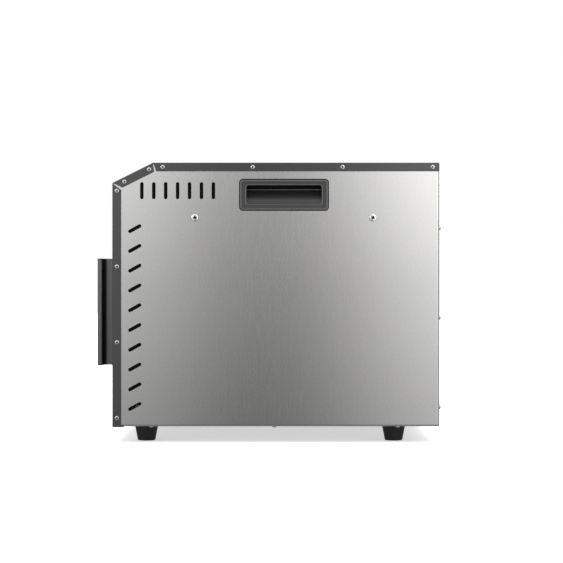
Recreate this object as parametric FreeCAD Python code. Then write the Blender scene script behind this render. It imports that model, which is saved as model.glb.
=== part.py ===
import FreeCAD, Part
import math
import os
from FreeCAD import Placement, Rotation, Vector

# Box food dehydrator with a sloping control panel, an inset glass door and ten mesh trays.
# Built with x to the right, y from front to back starting at the front face, z up from the floor.
# export() shifts everything along y, so that the origin ends under the middle of the whole object.

# ---- casing, mm ----
casing_width = 343.0          # over the two side panels
casing_depth = 442.0          # front face to back face
casing_height = 356.4         # underside to top
foot_gap = 21.6               # floor to underside
sheet = 1.0                   # every folded sheet
bend = 1.6                    # outside radius of the cover's folds
side_bend = 3.2               # outside radius of the side panels' folds
slope_run = 55.0              # control panel, front to back
slope_drop = 27.5             # control panel, top to bottom
front_flange = 12.0           # cover's flange over the side panel, at the front
top_flange = 11.8             # the same, along the slope and the top
corner_notch = ((2.4, 0.6), (24.0, 2.4))   # in from the corner and half as wide, at both ends
front_return = 15.0           # cover's return under the casing
side_flange = 15.0            # side panel's flanges behind and below
flange_gap = 0.2              # between the cover's rear flange and the side panel's
cutter = 60.0                 # reach of a cutting tool past the metal

# ---- door ----
jamb = 2.0                    # side panel's face to the door opening
door_gap = 1.5                # door to jamb, all round
door_set_back = 0.4           # door's face behind the casing's face
door_thick = 10.5
door_under = 5.0              # door's foot below the chamber's floor
door_over = 15.0              # door's top above the chamber's ceiling
stile = 28.0                  # door's edge to its window
glass_thick = 4.0
glass_lap = 6.0               # glass behind the frame, all round
pin_radius = 2.5
pin_play = 0.05
pin_inset = 6.5               # door's edge to the hinge pin's axis
pin_set_back = 4.6            # door's face to the hinge pin's axis
hinge_plate = (24.0, 3.0)     # width, thickness
hinge_block = (12.0, 14.0)    # width, height
hinge_shoulder = 2.0          # past the pin's radius
pin_end_gap = 2.0             # pin's tip short of its block's end
pin_hole_play = 0.3           # in the door's sheet
seal_width = 6.0
running_gap = 0.3             # between faces of different bodies

# ---- pull handle on the door ----
pull_length = 145.0
pull_reach = 20.7             # in front of the casing
pull_base = (20.0, 2.0)       # width, thickness
pull_web = 3.0
pull_lip = (24.0, 6.2)        # width, thickness

# ---- chamber and trays ----
wall_gap = 15.5               # between a side panel's back and the chamber's wall
chamber_bottom = 34.1
bay_height = 69.9             # chamber's ceiling to the casing's top
frame_back = 17.0             # chamber starts behind the front frame
fan_bay = 77.0                # casing's back to the air baffle
motor_bay = 37.0              # casing's back to the motor plate
levels = 10
rail = (9.0, 4.0)             # width, height
first_rail = 39.5             # height of the lowest rail's top
top_headroom = 28.3           # highest rail's top to the chamber's top
tray_side_gap = 5.0           # tray's rim to the chamber's wall
tray_front = 24.0             # from the casing's face
tray_back_gap = 11.0          # tray's rim to the air baffle
tray_rim = 4.0                # rim wire's diameter
tray_corner = 14.0
tray_wire = 1.6
tray_bar = 2.4

# ---- fan and heater ----
fan_radius = 70.0
fan_width = 22.0
fan_blades = 20
fan_gap = 7.0                 # air baffle to the wheel
shaft_radius = 3.0
motor_radius = 34.0
motor_length = 26.0
heater_radius = 84.0
heater_tube = 3.2
heater_stand = 22.0           # heater's middle to the motor plate
guard_rings = 5
guard_pitch = 12.5
guard_wire = 1.25
probe_side = -88.0            # middle of the chamber to the temperature probe
probe_drop = 14.0             # chamber's ceiling to the probe
probe_reach = 12.0            # in front of the air baffle
probe_radius = 2.0

# ---- carry handles let into the side panels ----
cup_front = 172.0             # front edge of the bezel
cup_bezel = (120.0, 42.0, 2.0)
cup_mouth = (102.0, 26.0)
cup_drop = 22.5               # casing's top to the bezel's top
cup_depth = 20.0
cup_wall = 2.0
cup_hook = 4.5                # finger channel above the mouth
cup_ramp = (17.0, 20.2)       # depth and height of the ramp inside

# ---- vents ----
slot_width = 4.8
top_slots = 7
top_slot_length = 23.0
top_slot_first = 40.0
top_slot_pitch = 16.1
top_slot_drop = 26.4          # casing's top to the slots' tops
side_slot_span = 15.0         # between the centres of a slot's ends
side_slot_middle = 30.4
side_slot_angle = 29.0
slot_over_rail = 9.0
rear_slot = (4.4, 14.0)       # width, height
rear_slot_pitch = (16.0, 19.0)
rear_slot_count = (9, 6)
under_slot_width = 4.8
under_slot_pitch = 18.0
under_slots = 8
baffle_slot = (5.0, 16.0)     # width, height
baffle_slot_rows = 9
baffle_slot_in = (30.0, 42.0, 54.0)   # chamber's wall to each column

# ---- fasteners: head radius, head height, shank radius ----
small_screw = (2.9, 1.9, 1.6)
rear_screw = (3.6, 2.6, 1.9)
rack_screw = (4.9, 2.9, 2.45)
rack_screw_drop = 4.5         # chamber's ceiling to its screws
rack_screw_front = 111.5
rack_screw_rear = 89.8        # casing's back to the rear one
rack_nut = (4.0, 3.6)         # radius, thickness
rack_sleeve = 5.0
hole_play = 0.05

# ---- feet ----
foot_top = 15.9
foot_bottom = 12.2
foot_inset = 36.5             # side panel's face to the foot's axis
foot_front = 43.5
foot_rear = 59.6              # casing's back to the rear foot's axis
foot_recess = (5.0, 8.0)

# ---- control panel ----
fascia = (250.0, 42.0)
fascia_lip = 4.0
fascia_thick = 2.5
lens = (64.0, 20.0)
key_cap = (18.0, 12.0)
key_travel = 0.8
key_gap = 0.3
board_drop = 8.4              # slope's face to the control board
board_thick = 1.6
power_board_stand = 8.0       # chamber's ceiling to the power board

# ---- worked out from the above ----
half = casing_width / 2
inner_half = half - sheet
plate_half = inner_half - (side_bend - sheet)   # a plate that lies inside the side panels' folds
under = foot_gap
top = foot_gap + casing_height
corner_z = top - slope_drop
chamber_top = top - bay_height
baffle_at = casing_depth - fan_bay
motor_plate_at = casing_depth - motor_bay
fan_front = baffle_at + fan_gap
heater_at = motor_plate_at - heater_stand
slope_angle = math.degrees(math.atan2(slope_drop, slope_run))
slope_length = math.hypot(slope_run, slope_drop)
door_half = half - jamb - door_gap
door_bottom = chamber_bottom - door_under
door_top = chamber_top + door_over
pull_middle = (door_bottom + door_top) / 2
door_back = door_set_back + door_thick
frame_front = frame_back - sheet
opening_half = half - jamb
opening_low = door_bottom - door_gap
opening_high = door_top + door_gap
chamber_half = inner_half - wall_gap
tray_half = chamber_half - tray_side_gap
tray_back = baffle_at - tray_back_gap
window = (door_half - stile, door_bottom + stile + 2.0, door_top - stile - 2.0)
pin_x = -(door_half - pin_inset)
pin_y = door_set_back + pin_set_back
fan_z = (chamber_bottom + chamber_top) / 2
tray_pitch = (chamber_top - top_headroom - first_rail) / (levels - 1)
rail_tops = [first_rail + n * tray_pitch for n in range(levels)]
power_board_at = chamber_top + sheet + power_board_stand
overall_depth = pull_reach + casing_depth + rear_screw[1]
front_y = pull_reach - overall_depth / 2
floor_plate = under + sheet
cup_top = top - cup_drop
cup_middle_z = cup_top - cup_bezel[1] / 2
cup_middle_y = cup_front + cup_bezel[0] / 2
rack_screw_z = chamber_top - rack_screw_drop
rack_screw_y = (rack_screw_front, casing_depth - rack_screw_rear)
key_places = {"power": -100.0, "mode": -66.0, "minus": 60.0, "plus": 84.0, "start": 108.0}


# ---- small tools ----
def box(x0, x1, y0, y1, z0, z1):
    return Part.makeBox(x1 - x0, y1 - y0, z1 - z0, Vector(x0, y0, z0))


def rod(start, end, radius):
    a, b = Vector(*start), Vector(*end)
    return Part.makeCylinder(radius, (b - a).Length, a, b - a)


def joined(shapes):
    return shapes[0].multiFuse(shapes[1:]).removeSplitter()


def less(shape, tools):
    return shape.cut(Part.makeCompound(tools))


def mirrored(shape):
    return shape.mirror(Vector(0, 0, 0), Vector(1, 0, 0))


def prism(points, x0, x1):
    """An outline of (y, z) points, extruded from x0 to x1."""
    corners = [Vector(x0, y, z) for y, z in points]
    face = Part.Face(Part.makePolygon(corners + corners[:1]))
    return face.extrude(Vector(x1 - x0, 0, 0))


def inset(points, by):
    """A clockwise outline moved inwards by a distance for each side."""
    lines = []
    for n, (y, z) in enumerate(points):
        y2, z2 = points[(n + 1) % len(points)]
        length = math.hypot(y2 - y, z2 - z)
        dy, dz = (y2 - y) / length, (z2 - z) / length
        lines.append((y + dz * by[n], z - dy * by[n], dy, dz))
    moved = []
    for n, (y2, z2, dy2, dz2) in enumerate(lines):
        y1, z1, dy1, dz1 = lines[n - 1]
        t = ((y2 - y1) * dz2 - (z2 - z1) * dy2) / (dy1 * dz2 - dz1 * dy2)
        moved.append((y1 + dy1 * t, z1 + dz1 * t))
    return moved


def rounded_bar(x0, x1, y0, y1, z0, z1, radius, axis):
    """A box whose four edges along one axis are rounded."""
    whole = box(x0, x1, y0, y1, z0, z1)
    along = Vector(*axis)
    edges = [e for e in whole.Edges if abs(e.tangentAt(0).dot(along)) > 0.99]
    return whole.makeFillet(radius, edges)


def stadium(y, z, span, width, angle, x0, x1):
    """A slot cutter through x, with its ends span apart about (y, z)."""
    c, s = math.cos(math.radians(angle)), math.sin(math.radians(angle))
    r = width / 2

    def at(along, across):
        return Vector(x0, y + along * c - across * s, z + along * s + across * c)

    h = span / 2
    edges = [
        Part.makeLine(at(-h, -r), at(h, -r)),
        Part.Arc(at(h, -r), at(h + r, 0), at(h, r)).toShape(),
        Part.makeLine(at(h, r), at(-h, r)),
        Part.Arc(at(-h, r), at(-h - r, 0), at(-h, -r)).toShape(),
    ]
    return Part.Face(Part.Wire(edges)).extrude(Vector(x1 - x0, 0, 0))


def pan_screw(place, out, size, shank):
    """A pan head screw with a cross recess: its head sits on place and faces out."""
    head, high, core = size
    rim = high * 0.45
    side = Part.makeLine(Vector(head, 0, 0), Vector(head, 0, rim))
    dome = Part.Arc(Vector(head, 0, rim), Vector(head * 0.72, 0, high * 0.86), Vector(0, 0, high))
    outline = [
        Part.makeLine(Vector(0, 0, -shank), Vector(core, 0, -shank)),
        Part.makeLine(Vector(core, 0, -shank), Vector(core, 0, 0)),
        Part.makeLine(Vector(core, 0, 0), Vector(head, 0, 0)),
        side,
        dome.toShape(),
        Part.makeLine(Vector(0, 0, high), Vector(0, 0, -shank)),
    ]
    turned = Part.Face(Part.Wire(outline)).revolve(Vector(0, 0, 0), Vector(0, 0, 1), 360)
    arm, width, deep = head * 0.6, head * 0.2, high * 0.55
    cross = [box(-arm, arm, -width / 2, width / 2, high - deep, high + 1)]
    cross.append(box(-width / 2, width / 2, -arm, arm, high - deep, high + 1))
    screw = less(turned, [joined(cross)])
    screw.Placement = Placement(Vector(*place), Rotation(Vector(0, 0, 1), Vector(*out)))
    return screw


def lead(points, radius):
    """A round lead along straight runs joined by tangent arcs."""
    p = [Vector(*point) for point in points]
    runs = [(p[n + 1] - p[n]).Length for n in range(len(p) - 1)]
    edges, start = [], p[0]
    for n in range(1, len(p) - 1):
        back = (p[n - 1] - p[n]).normalize()
        on = (p[n + 1] - p[n]).normalize()
        take = 0.45 * min(runs[n - 1], runs[n])
        turn = math.pi - back.getAngle(on)
        bend_radius = take / math.tan(turn / 2)
        a, b = p[n] + back * take, p[n] + on * take
        inward = (back + on).normalize()
        middle = p[n] + inward * (bend_radius / math.cos(turn / 2) - bend_radius)
        edges += [Part.makeLine(start, a), Part.Arc(a, middle, b).toShape()]
        start = b
    edges.append(Part.makeLine(start, p[-1]))
    path = Part.Wire(edges)
    ring = Part.Wire(Part.makeCircle(radius, p[0], p[1] - p[0]))
    return path.makePipeShell([ring], True, False)


def on_slope(shape):
    """Moves a shape from the slope's own frame: x across, y up the slope, z out of it."""
    middle = Vector(0, slope_run / 2, top - slope_drop / 2)
    shape.Placement = Placement(middle, Rotation(Vector(1, 0, 0), slope_angle))
    return shape


# ---- where the screws go ----
def cover_screw_places():
    """(y, z) of each screw through the cover's flange, and whether it is a short one."""
    low, high = under + 11.4, corner_z - 10.8
    front = [(front_flange * 0.54, low + (high - low) * n / 3, True) for n in range(4)]
    c, s = slope_run / slope_length, slope_drop / slope_length
    inward = top_flange * 0.52
    slope = []
    for along in (15.5, slope_length - 8.8):
        slope.append((along * c + inward * s, corner_z + along * s - inward * c, False))
    first, last = slope_run + 13.2, casing_depth - 9.3
    upper = [(first + (last - first) * n / 3, top - inward, False) for n in range(4)]
    return front + slope + upper


rear_screw_places = [under + 26.2 + n * (casing_height - 113.7) / 2 for n in range(3)]
rear_screw_x = half - 8.5
under_screw_places = [52.0, casing_depth / 2 - 2.0, casing_depth - 56.0]
under_screw_x = half - 7.5


# ---- casing ----
def cover():
    """Front frame, slope and top, folded from one dark sheet, with notched flanges."""
    out = [(0, under - sheet), (0, corner_z), (slope_run, top),
           (casing_depth, top), (casing_depth, under - sheet)]
    outer = prism(out, -half - sheet, half + sheet)
    outer = outer.makeFillet(bend, outer.Edges)
    inner = prism(inset(out, [sheet] * 5), -half, half)
    inner = inner.makeFillet(bend - sheet, inner.Edges)
    shell = outer.cut(inner)

    wide = half + cutter
    tools = [
        box(-wide, wide, front_return, casing_depth + cutter, under - cutter, under + bend),
        box(-wide, wide, casing_depth - bend, casing_depth + cutter, under - cutter, top - top_flange),
    ]
    band = inset(out, [front_flange, top_flange, top_flange, -cutter, -cutter])
    for x0, x1 in ((half, wide), (-wide, -half)):
        tools.append(prism(band, x0, x1))
    c, s = math.cos(math.radians(slope_angle)), math.sin(math.radians(slope_angle))
    for (y, z), (dy, dz) in (((0, corner_z), (c, s - 1)), ((slope_run, top), (1 - c, -s))):
        size = math.hypot(dy, dz)
        dy, dz = dy / size, dz / size
        narrow, wide_end = corner_notch
        notch = [narrow, wide_end, (wide_end[0], -wide_end[1]), (narrow[0], -narrow[1])]
        notch = [(y + dy * a - dz * b, z + dz * a + dy * b) for a, b in notch]
        tools.append(prism(notch, half, wide))
        tools.append(prism(notch, -wide, -half))
    tools.append(box(-opening_half, opening_half, -1, 5, opening_low, opening_high))
    slope_cut = rounded_bar(-fascia[0] / 2 - 0.3, fascia[0] / 2 + 0.3, -fascia[1] / 2 - 0.3,
                            fascia[1] / 2 + 0.3, -4, 4, 3.3, (0, 0, 1))
    tools.append(on_slope(slope_cut))
    shell = less(shell, tools)

    ring = box(-inner_half, inner_half, sheet, frame_front, opening_low - sheet, opening_high + sheet)
    ring = ring.cut(box(-opening_half, opening_half, 0, frame_front + 1, opening_low, opening_high))
    shell = shell.fuse(ring).removeSplitter()
    holes = []
    for y, z, _ in cover_screw_places():
        holes.append(rod((-wide, y, z), (-half + 3, y, z), small_screw[2] + hole_play))
        holes.append(rod((half - 3, y, z), (wide, y, z), small_screw[2] + hole_play))
    for z in (opening_low - sheet - 1, opening_high - 1):
        holes.append(rod((pin_x, pin_y, z), (pin_x, pin_y, z + sheet + 2), pin_radius + hole_play))
    return less(shell, holes)


def side_panel():
    """Right-hand panel with flanges behind and below, slots, and the carry handle's cut-out."""
    out = [(0, under), (0, corner_z), (slope_run, top), (casing_depth, top), (casing_depth, under)]
    out = inset(out, [bend, bend, bend, 0, 0])
    outer = prism(out, half - side_flange, half)
    outer = outer.makeFillet(side_bend, [
        e for e in outer.Edges
        if all(abs(v.X - half) < 0.01 for v in e.Vertexes)
        and (all(abs(v.Z - under) < 0.01 for v in e.Vertexes)
             or all(abs(v.Y - casing_depth) < 0.01 for v in e.Vertexes))
    ])
    inner = box(half - cutter, inner_half, -cutter, casing_depth - sheet, under + sheet, top + cutter)
    inner = inner.makeFillet(side_bend - sheet, [
        e for e in inner.Edges
        if all(abs(v.X - inner_half) < 0.01 for v in e.Vertexes)
        and (all(abs(v.Z - under - sheet) < 0.01 for v in e.Vertexes)
             or all(abs(v.Y - casing_depth + sheet) < 0.01 for v in e.Vertexes))
    ])
    panel = outer.cut(inner)
    x0, x1 = half - 3, half + 3
    tools = [box(half - cutter, x1, casing_depth - side_bend, casing_depth + 1,
                 top - top_flange - flange_gap, top + 1)]
    top_slot_z = top - top_slot_drop - top_slot_length / 2
    for n in range(top_slots):
        tools.append(stadium(top_slot_first + n * top_slot_pitch, top_slot_z,
                             top_slot_length - slot_width, slot_width, 90, x0, x1))
    for z in rail_tops:
        tools.append(stadium(side_slot_middle, z + slot_over_rail, side_slot_span, slot_width,
                             side_slot_angle, x0, x1))
    tools.append(cup_body(0.2, x0, x1))
    for y, z, _ in cover_screw_places():
        tools.append(rod((x0, y, z), (x1, y, z), small_screw[2] + hole_play))
    for y in rack_screw_y:
        tools.append(rod((x0, y, rack_screw_z), (x1, y, rack_screw_z), rack_screw[2] + hole_play))
    for z in rear_screw_places:
        tools.append(rod((rear_screw_x, casing_depth - 3, z), (rear_screw_x, casing_depth + 3, z),
                         rear_screw[2] + hole_play))
    for y in under_screw_places:
        tools.append(rod((under_screw_x, y, under - 3), (under_screw_x, y, under + 3),
                         small_screw[2] + hole_play))
    return less(panel, tools)


def rear_panel():
    """Plate behind the side panels' flanges, with cooling slots and the inlet's cut-out."""
    back = casing_depth - sheet
    plate = box(-plate_half, plate_half, back - sheet, back, floor_plate + sheet, top - bend)
    tools = []
    columns, rows = rear_slot_count
    w, h = rear_slot[0] / 2, rear_slot[1] / 2
    for row in range(rows):
        for column in range(columns):
            x = (column - (columns - 1) / 2) * rear_slot_pitch[0]
            z = fan_z + (row - (rows - 1) / 2) * rear_slot_pitch[1]
            tools.append(rounded_bar(x - w, x + w, back - 3, back + 2, z - h, z + h, w - 0.1, (0, 1, 0)))
    x, z = inlet_place
    w, h = inlet_body[0] / 2 + 0.15, inlet_body[1] / 2 + 0.15
    tools.append(box(x - w, x + w, back - 3, back + 3, z - h, z + h))
    for sign in (-1, 1):
        tools.append(rod((x + sign * inlet_screw_x, back - 3, z), (x + sign * inlet_screw_x, back + 3, z),
                         small_screw[2] + hole_play))
    for sign in (-1, 1):
        for z in rear_screw_places:
            tools.append(rod((sign * rear_screw_x, back - 3, z), (sign * rear_screw_x, back + 3, z),
                             rear_screw[2] + hole_play))
    return less(plate, tools)


def bottom_panel():
    plate = box(-plate_half, plate_half, bend, casing_depth - 2 * sheet, floor_plate, floor_plate + sheet)
    tools = []
    w = under_slot_width / 2
    for n in range(under_slots):
        x = (n - (under_slots - 1) / 2) * under_slot_pitch
        tools.append(rounded_bar(x - w, x + w, motor_plate_at + 3, casing_depth - 10,
                                 floor_plate - 2, floor_plate + 3, w - 0.1, (0, 0, 1)))
    for x, y in foot_places():
        tools.append(rod((x, y, floor_plate - 2), (x, y, floor_plate + 3), small_screw[2] + hole_play))
    for sign in (-1, 1):
        for y in under_screw_places:
            x = sign * under_screw_x
            tools.append(rod((x, y, floor_plate - 2), (x, y, floor_plate + 3), small_screw[2] + hole_play))
    return less(plate, tools)


def front_frame():
    """Ring behind the door, which carries the chamber's front edges and takes the door's seal."""
    plate = box(-plate_half, plate_half, frame_front, frame_back, floor_plate + sheet, opening_high + sheet)
    hole = rounded_bar(-chamber_half, chamber_half, frame_front - 1, frame_back + 1,
                       chamber_bottom, chamber_top, 2.0, (0, 1, 0))
    return plate.cut(hole)


# ---- chamber ----
def chamber_wall():
    wall = box(chamber_half, chamber_half + sheet, frame_back, motor_plate_at, chamber_bottom, chamber_top)
    tools = []
    for z in rail_tops:
        tools.append(stadium(side_slot_middle - 4.0, z + slot_over_rail - 2.0, side_slot_span * 0.4,
                             slot_width, side_slot_angle, chamber_half - 1, chamber_half + 3))
    for y in rack_screw_y:
        tools.append(rod((chamber_half - 1, y, rack_screw_z), (chamber_half + 3, y, rack_screw_z),
                         rack_screw[2] + hole_play))
    return less(wall, tools)


def chamber_ceiling():
    edge = chamber_half + sheet
    return box(-edge, edge, frame_back, motor_plate_at, chamber_top, chamber_top + sheet)


def chamber_floor():
    """A pan turned over: its flanges stand on the bottom panel."""
    edge = chamber_half + sheet
    low = floor_plate + sheet
    pan = box(-edge, edge, frame_back, motor_plate_at, low, chamber_bottom)
    return pan.cut(box(-edge + sheet, edge - sheet, frame_back + sheet, motor_plate_at - sheet,
                       low - 1, chamber_bottom - sheet))


def rails():
    """Ten ribs along the right-hand wall, each with a rounded nose."""
    made = []
    for z in rail_tops:
        bar = box(chamber_half - rail[0], chamber_half, frame_back + 3, baffle_at - 5, z - rail[1], z)
        nose = [e for e in bar.Edges if all(abs(v.X - chamber_half + rail[0]) < 0.01 for v in e.Vertexes)
                and abs(e.tangentAt(0).y) > 0.99]
        made.append(bar.makeFillet(rail[1] * 0.45, nose))
    return Part.makeCompound(made)


def air_baffle():
    """Chamber's back wall: a round inlet in front of the fan and slots at both sides."""
    plate = box(-chamber_half, chamber_half, baffle_at, baffle_at + sheet, chamber_bottom, chamber_top)
    tools = [rod((0, baffle_at - 1, fan_z), (0, baffle_at + 3, fan_z), guard_rings * guard_pitch)]
    w, h = baffle_slot[0] / 2, baffle_slot[1] / 2
    pitch = (chamber_top - chamber_bottom - 40) / (baffle_slot_rows - 1)
    for row in range(baffle_slot_rows):
        z = fan_z + (row - (baffle_slot_rows - 1) / 2) * pitch
        for inward in baffle_slot_in:
            for x in (inward - chamber_half, chamber_half - inward):
                tools.append(rounded_bar(x - w, x + w, baffle_at - 1, baffle_at + 3,
                                         z - h, z + h, w - 0.1, (0, 1, 0)))
    tools.append(rod((probe_x, baffle_at - 1, probe_z), (probe_x, baffle_at + 3, probe_z),
                     probe_radius + 0.1))
    return less(plate, tools)


def fan_guard():
    """Wire guard of rings and spokes on the front of the baffle."""
    y = baffle_at - guard_wire
    parts = []
    for n in range(guard_rings):
        ring = Part.makeTorus((n + 1) * guard_pitch + 2.5, guard_wire, Vector(0, y, fan_z), Vector(0, 1, 0))
        parts.append(ring)
    outer = guard_rings * guard_pitch + 2.5
    for n in range(3):
        a = math.radians(60 * n + 30)
        dx, dz = outer * math.cos(a), outer * math.sin(a)
        parts.append(rod((-dx, y - 1.6, fan_z - dz), (dx, y - 1.6, fan_z + dz), guard_wire))
        for sign in (-1, 1):
            ex, ez = sign * (outer + 5) * math.cos(a), fan_z + sign * (outer + 5) * math.sin(a)
            parts.append(rod((ex, baffle_at - 1.4, ez), (ex, baffle_at, ez), 4.5))
    return joined(parts)


def heater_posts():
    """Three posts on the motor plate, which the heater lies against."""
    made = []
    for angle in (-30, 210, 270):
        x = heater_radius * math.cos(math.radians(angle))
        z = fan_z + heater_radius * math.sin(math.radians(angle))
        made.append(rod((x, heater_at + heater_tube + 0.05, z), (x, motor_plate_at, z), 4.0))
    return made


def motor_plate():
    edge = chamber_half + sheet
    plate = box(-edge, edge, motor_plate_at, motor_plate_at + sheet,
                floor_plate + sheet, chamber_top + sheet)
    tools = [rod((0, motor_plate_at - 1, fan_z), (0, motor_plate_at + 3, fan_z), shaft_radius + 1.0)]
    for x in heater_legs:
        z = fan_z + math.sqrt(heater_radius ** 2 - x ** 2)
        tools.append(rod((x, motor_plate_at - 1, z), (x, motor_plate_at + 3, z), heater_tube + hole_play))
    return joined([less(plate, tools)] + heater_posts())


# ---- fan, motor and heater ----
heater_legs = (-12.0, 12.0)
probe_x, probe_z = probe_side, chamber_top - probe_drop


def fan_impeller():
    back = fan_front + fan_width
    wheel = [rod((0, back - 1.2, fan_z), (0, back, fan_z), fan_radius),
             rod((0, back - 14, fan_z), (0, back, fan_z), 10.0)]
    for n in range(fan_blades):
        blade = box(-0.6, 0.6, fan_front, back - 1.2, fan_radius * 0.56, fan_radius - 2)
        blade.rotate(Vector(0, 0, fan_radius * 0.78), Vector(0, 1, 0), 24)
        blade.rotate(Vector(0, 0, 0), Vector(0, 1, 0), 360.0 * n / fan_blades)
        blade.translate(Vector(0, 0, fan_z))
        wheel.append(blade)
    front = rod((0, fan_front, fan_z), (0, fan_front + 1.2, fan_z), fan_radius)
    wheel.append(front.cut(rod((0, fan_front - 1, fan_z), (0, fan_front + 3, fan_z), fan_radius * 0.66)))
    bore = rod((0, back - 20, fan_z), (0, back + 3, fan_z), shaft_radius)
    return joined(wheel).cut(bore)


def fan_shaft():
    back = fan_front + fan_width
    shaft = rod((0, back - 16, fan_z), (0, motor_plate_at + sheet + 18, fan_z), shaft_radius)
    nut = rod((0, back - 17.5, fan_z), (0, back - 14, fan_z), 5.5)
    return joined([shaft, nut])


def fan_motor():
    front = motor_plate_at + sheet
    can = Part.makeCylinder(motor_radius, motor_length, Vector(0, front, fan_z), Vector(0, 1, 0))
    can = can.makeFillet(2.5, [e for e in can.Edges if e.Length > motor_radius * 6
                               and abs(e.CenterOfMass.y - front - motor_length) < 0.01])
    ears = rounded_bar(-motor_radius - 12, motor_radius + 12, front, front + 2.5, fan_z - 9, fan_z + 9,
                       8.5, (0, 1, 0))
    cap = rod((0, front + motor_length - 1, fan_z), (0, front + motor_length + 2, fan_z), 11.0)
    bore = rod((0, front - 1, fan_z), (0, front + 19, fan_z), shaft_radius + hole_play)
    return joined([can, ears, cap]).cut(bore)


def heater_element():
    """An open ring of sheathed element with two legs through the motor plate."""
    z = math.sqrt(heater_radius ** 2 - heater_legs[1] ** 2)
    a = Vector(heater_legs[1], heater_at, fan_z + z)
    b = Vector(heater_legs[0], heater_at, fan_z + z)
    arc = Part.Arc(a, Vector(0, heater_at, fan_z - heater_radius), b).toShape()
    ring = Part.Wire(Part.makeCircle(heater_tube, a, arc.tangentAt(arc.FirstParameter)))
    parts = [Part.Wire(arc).makePipeShell([ring], True, False)]
    for end in (a, b):
        parts.append(Part.makeSphere(heater_tube, end))
        parts.append(rod(tuple(end), (end.x, motor_plate_at + 12, end.z), heater_tube))
        parts.append(rod((end.x, motor_plate_at + 12, end.z), (end.x, motor_plate_at + 20, end.z), 1.6))
    return joined(parts)


def thermal_cutout():
    y = motor_plate_at + sheet
    x, z = 72.0, fan_z - 70.0
    body = [rod((x, y, z), (x, y + 7, z), 8.0), rod((x, y, z), (x, y + 1, z), 10.5)]
    for sign in (-1, 1):
        body.append(box(x + sign * 4 - 2.5, x + sign * 4 + 2.5, y + 7, y + 13, z - 0.4, z + 0.4))
    return joined(body)


def temperature_probe():
    y = baffle_at + sheet
    stem = rod((probe_x, baffle_at - probe_reach, probe_z), (probe_x, y + 8, probe_z), probe_radius)
    collar = rod((probe_x, y, probe_z), (probe_x, y + 3, probe_z), 4.5)
    return joined([stem, collar])


# ---- trays ----
def rounded_path(x0, x1, y0, y1, z, radius):
    """A closed rectangle with round corners, as a wire."""
    k = radius * (1 - math.sqrt(0.5))
    corners = [
        ((x0 + radius, y0), (x1 - radius, y0), (x1 - k, y0 + k)),
        ((x1, y0 + radius), (x1, y1 - radius), (x1 - k, y1 - k)),
        ((x1 - radius, y1), (x0 + radius, y1), (x0 + k, y1 - k)),
        ((x0, y1 - radius), (x0, y0 + radius), (x0 + k, y0 + k)),
    ]
    edges = []
    for n, (a, b, middle) in enumerate(corners):
        after = corners[(n + 1) % 4][0]
        edges.append(Part.makeLine(Vector(*a, z), Vector(*b, z)))
        edges.append(Part.Arc(Vector(*b, z), Vector(*middle, z), Vector(*after, z)).toShape())
    return Part.Wire(edges)


def tray():
    """The lowest tray: a rim of bent wire with long wires over cross bars."""
    r = tray_rim / 2
    z = first_rail + running_gap + r
    x, y0, y1 = tray_half - r, tray_front + r, tray_back - r
    path = rounded_path(-x, x, y0, y1, z, tray_corner)
    ring = Part.Wire(Part.makeCircle(r, Vector(-x + tray_corner, y0, z), Vector(1, 0, 0)))
    solids = [path.makePipeShell([ring], True, False)]
    bars = 8
    for n in range(bars):
        y = y0 + (y1 - y0) * (n + 1) / (bars + 1)
        solids.append(rod((-x, y, z), (x, y, z), tray_bar / 2))
    wires = 17
    lift = z + tray_bar / 2 - 0.2
    for n in range(wires):
        along = -x + 2 * x * (n + 1) / (wires + 1)
        solids.append(rod((along, y0, lift), (along, y1, lift), tray_wire / 2))
    return joined(solids)


# ---- carry handles ----
def cup_body(play, x0, x1):
    """Outside of the carry handle's cup, as it passes through the panel."""
    w, h = cup_mouth[0] / 2 + cup_wall + play, cup_mouth[1] / 2 + cup_hook + cup_wall + play
    z = cup_middle_z
    return rounded_bar(x0, x1, cup_middle_y - w, cup_middle_y + w, z - cup_mouth[1] / 2 - cup_wall - play,
                       z + h, 3.0, (1, 0, 0))


def carry_handle():
    """Right-hand cup: a bezel, a ramp up to a ridge and a finger channel behind the bezel's top."""
    y0, y1 = cup_middle_y - cup_bezel[0] / 2, cup_middle_y + cup_bezel[0] / 2
    z0, z1 = cup_middle_z - cup_bezel[1] / 2, cup_middle_z + cup_bezel[1] / 2
    bezel = rounded_bar(half, half + cup_bezel[2], y0, y1, z0, z1, 4.5, (1, 0, 0))
    bezel = bezel.makeFillet(1.2, [e for e in bezel.Edges
                                   if all(abs(v.X - half - cup_bezel[2]) < 0.01 for v in e.Vertexes)])
    cup = cup_body(0.0, half - cup_depth - cup_wall, half + 0.5)
    mouth_low = cup_middle_z - cup_mouth[1] / 2
    mouth_high = cup_middle_z + cup_mouth[1] / 2
    face, deep = half + cup_bezel[2] + 1, half - cup_depth
    back, ridge = half - cup_ramp[0], mouth_low + cup_ramp[1]
    hook_face, hook_top = half - cup_wall, mouth_high + cup_hook
    swell = Vector(half - cup_ramp[0] * 0.35, 0, mouth_low + cup_ramp[1] * 0.66)
    points = [Vector(x, 0, z) for x, z in (
        (back, ridge), (deep, ridge), (deep, hook_top), (hook_face, hook_top),
        (hook_face, mouth_high), (face, mouth_high), (face, mouth_low), (half, mouth_low))]
    outline = [Part.makeLine(points[n], points[n + 1]) for n in range(len(points) - 1)]
    outline.append(Part.Arc(points[-1], swell, points[0]).toShape())
    hollow = Part.Face(Part.Wire(outline))
    hollow.translate(Vector(0, cup_middle_y - cup_mouth[0] / 2, 0))
    hollow = hollow.extrude(Vector(0, cup_mouth[0], 0))
    return joined([bezel, cup]).cut(hollow)


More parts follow.
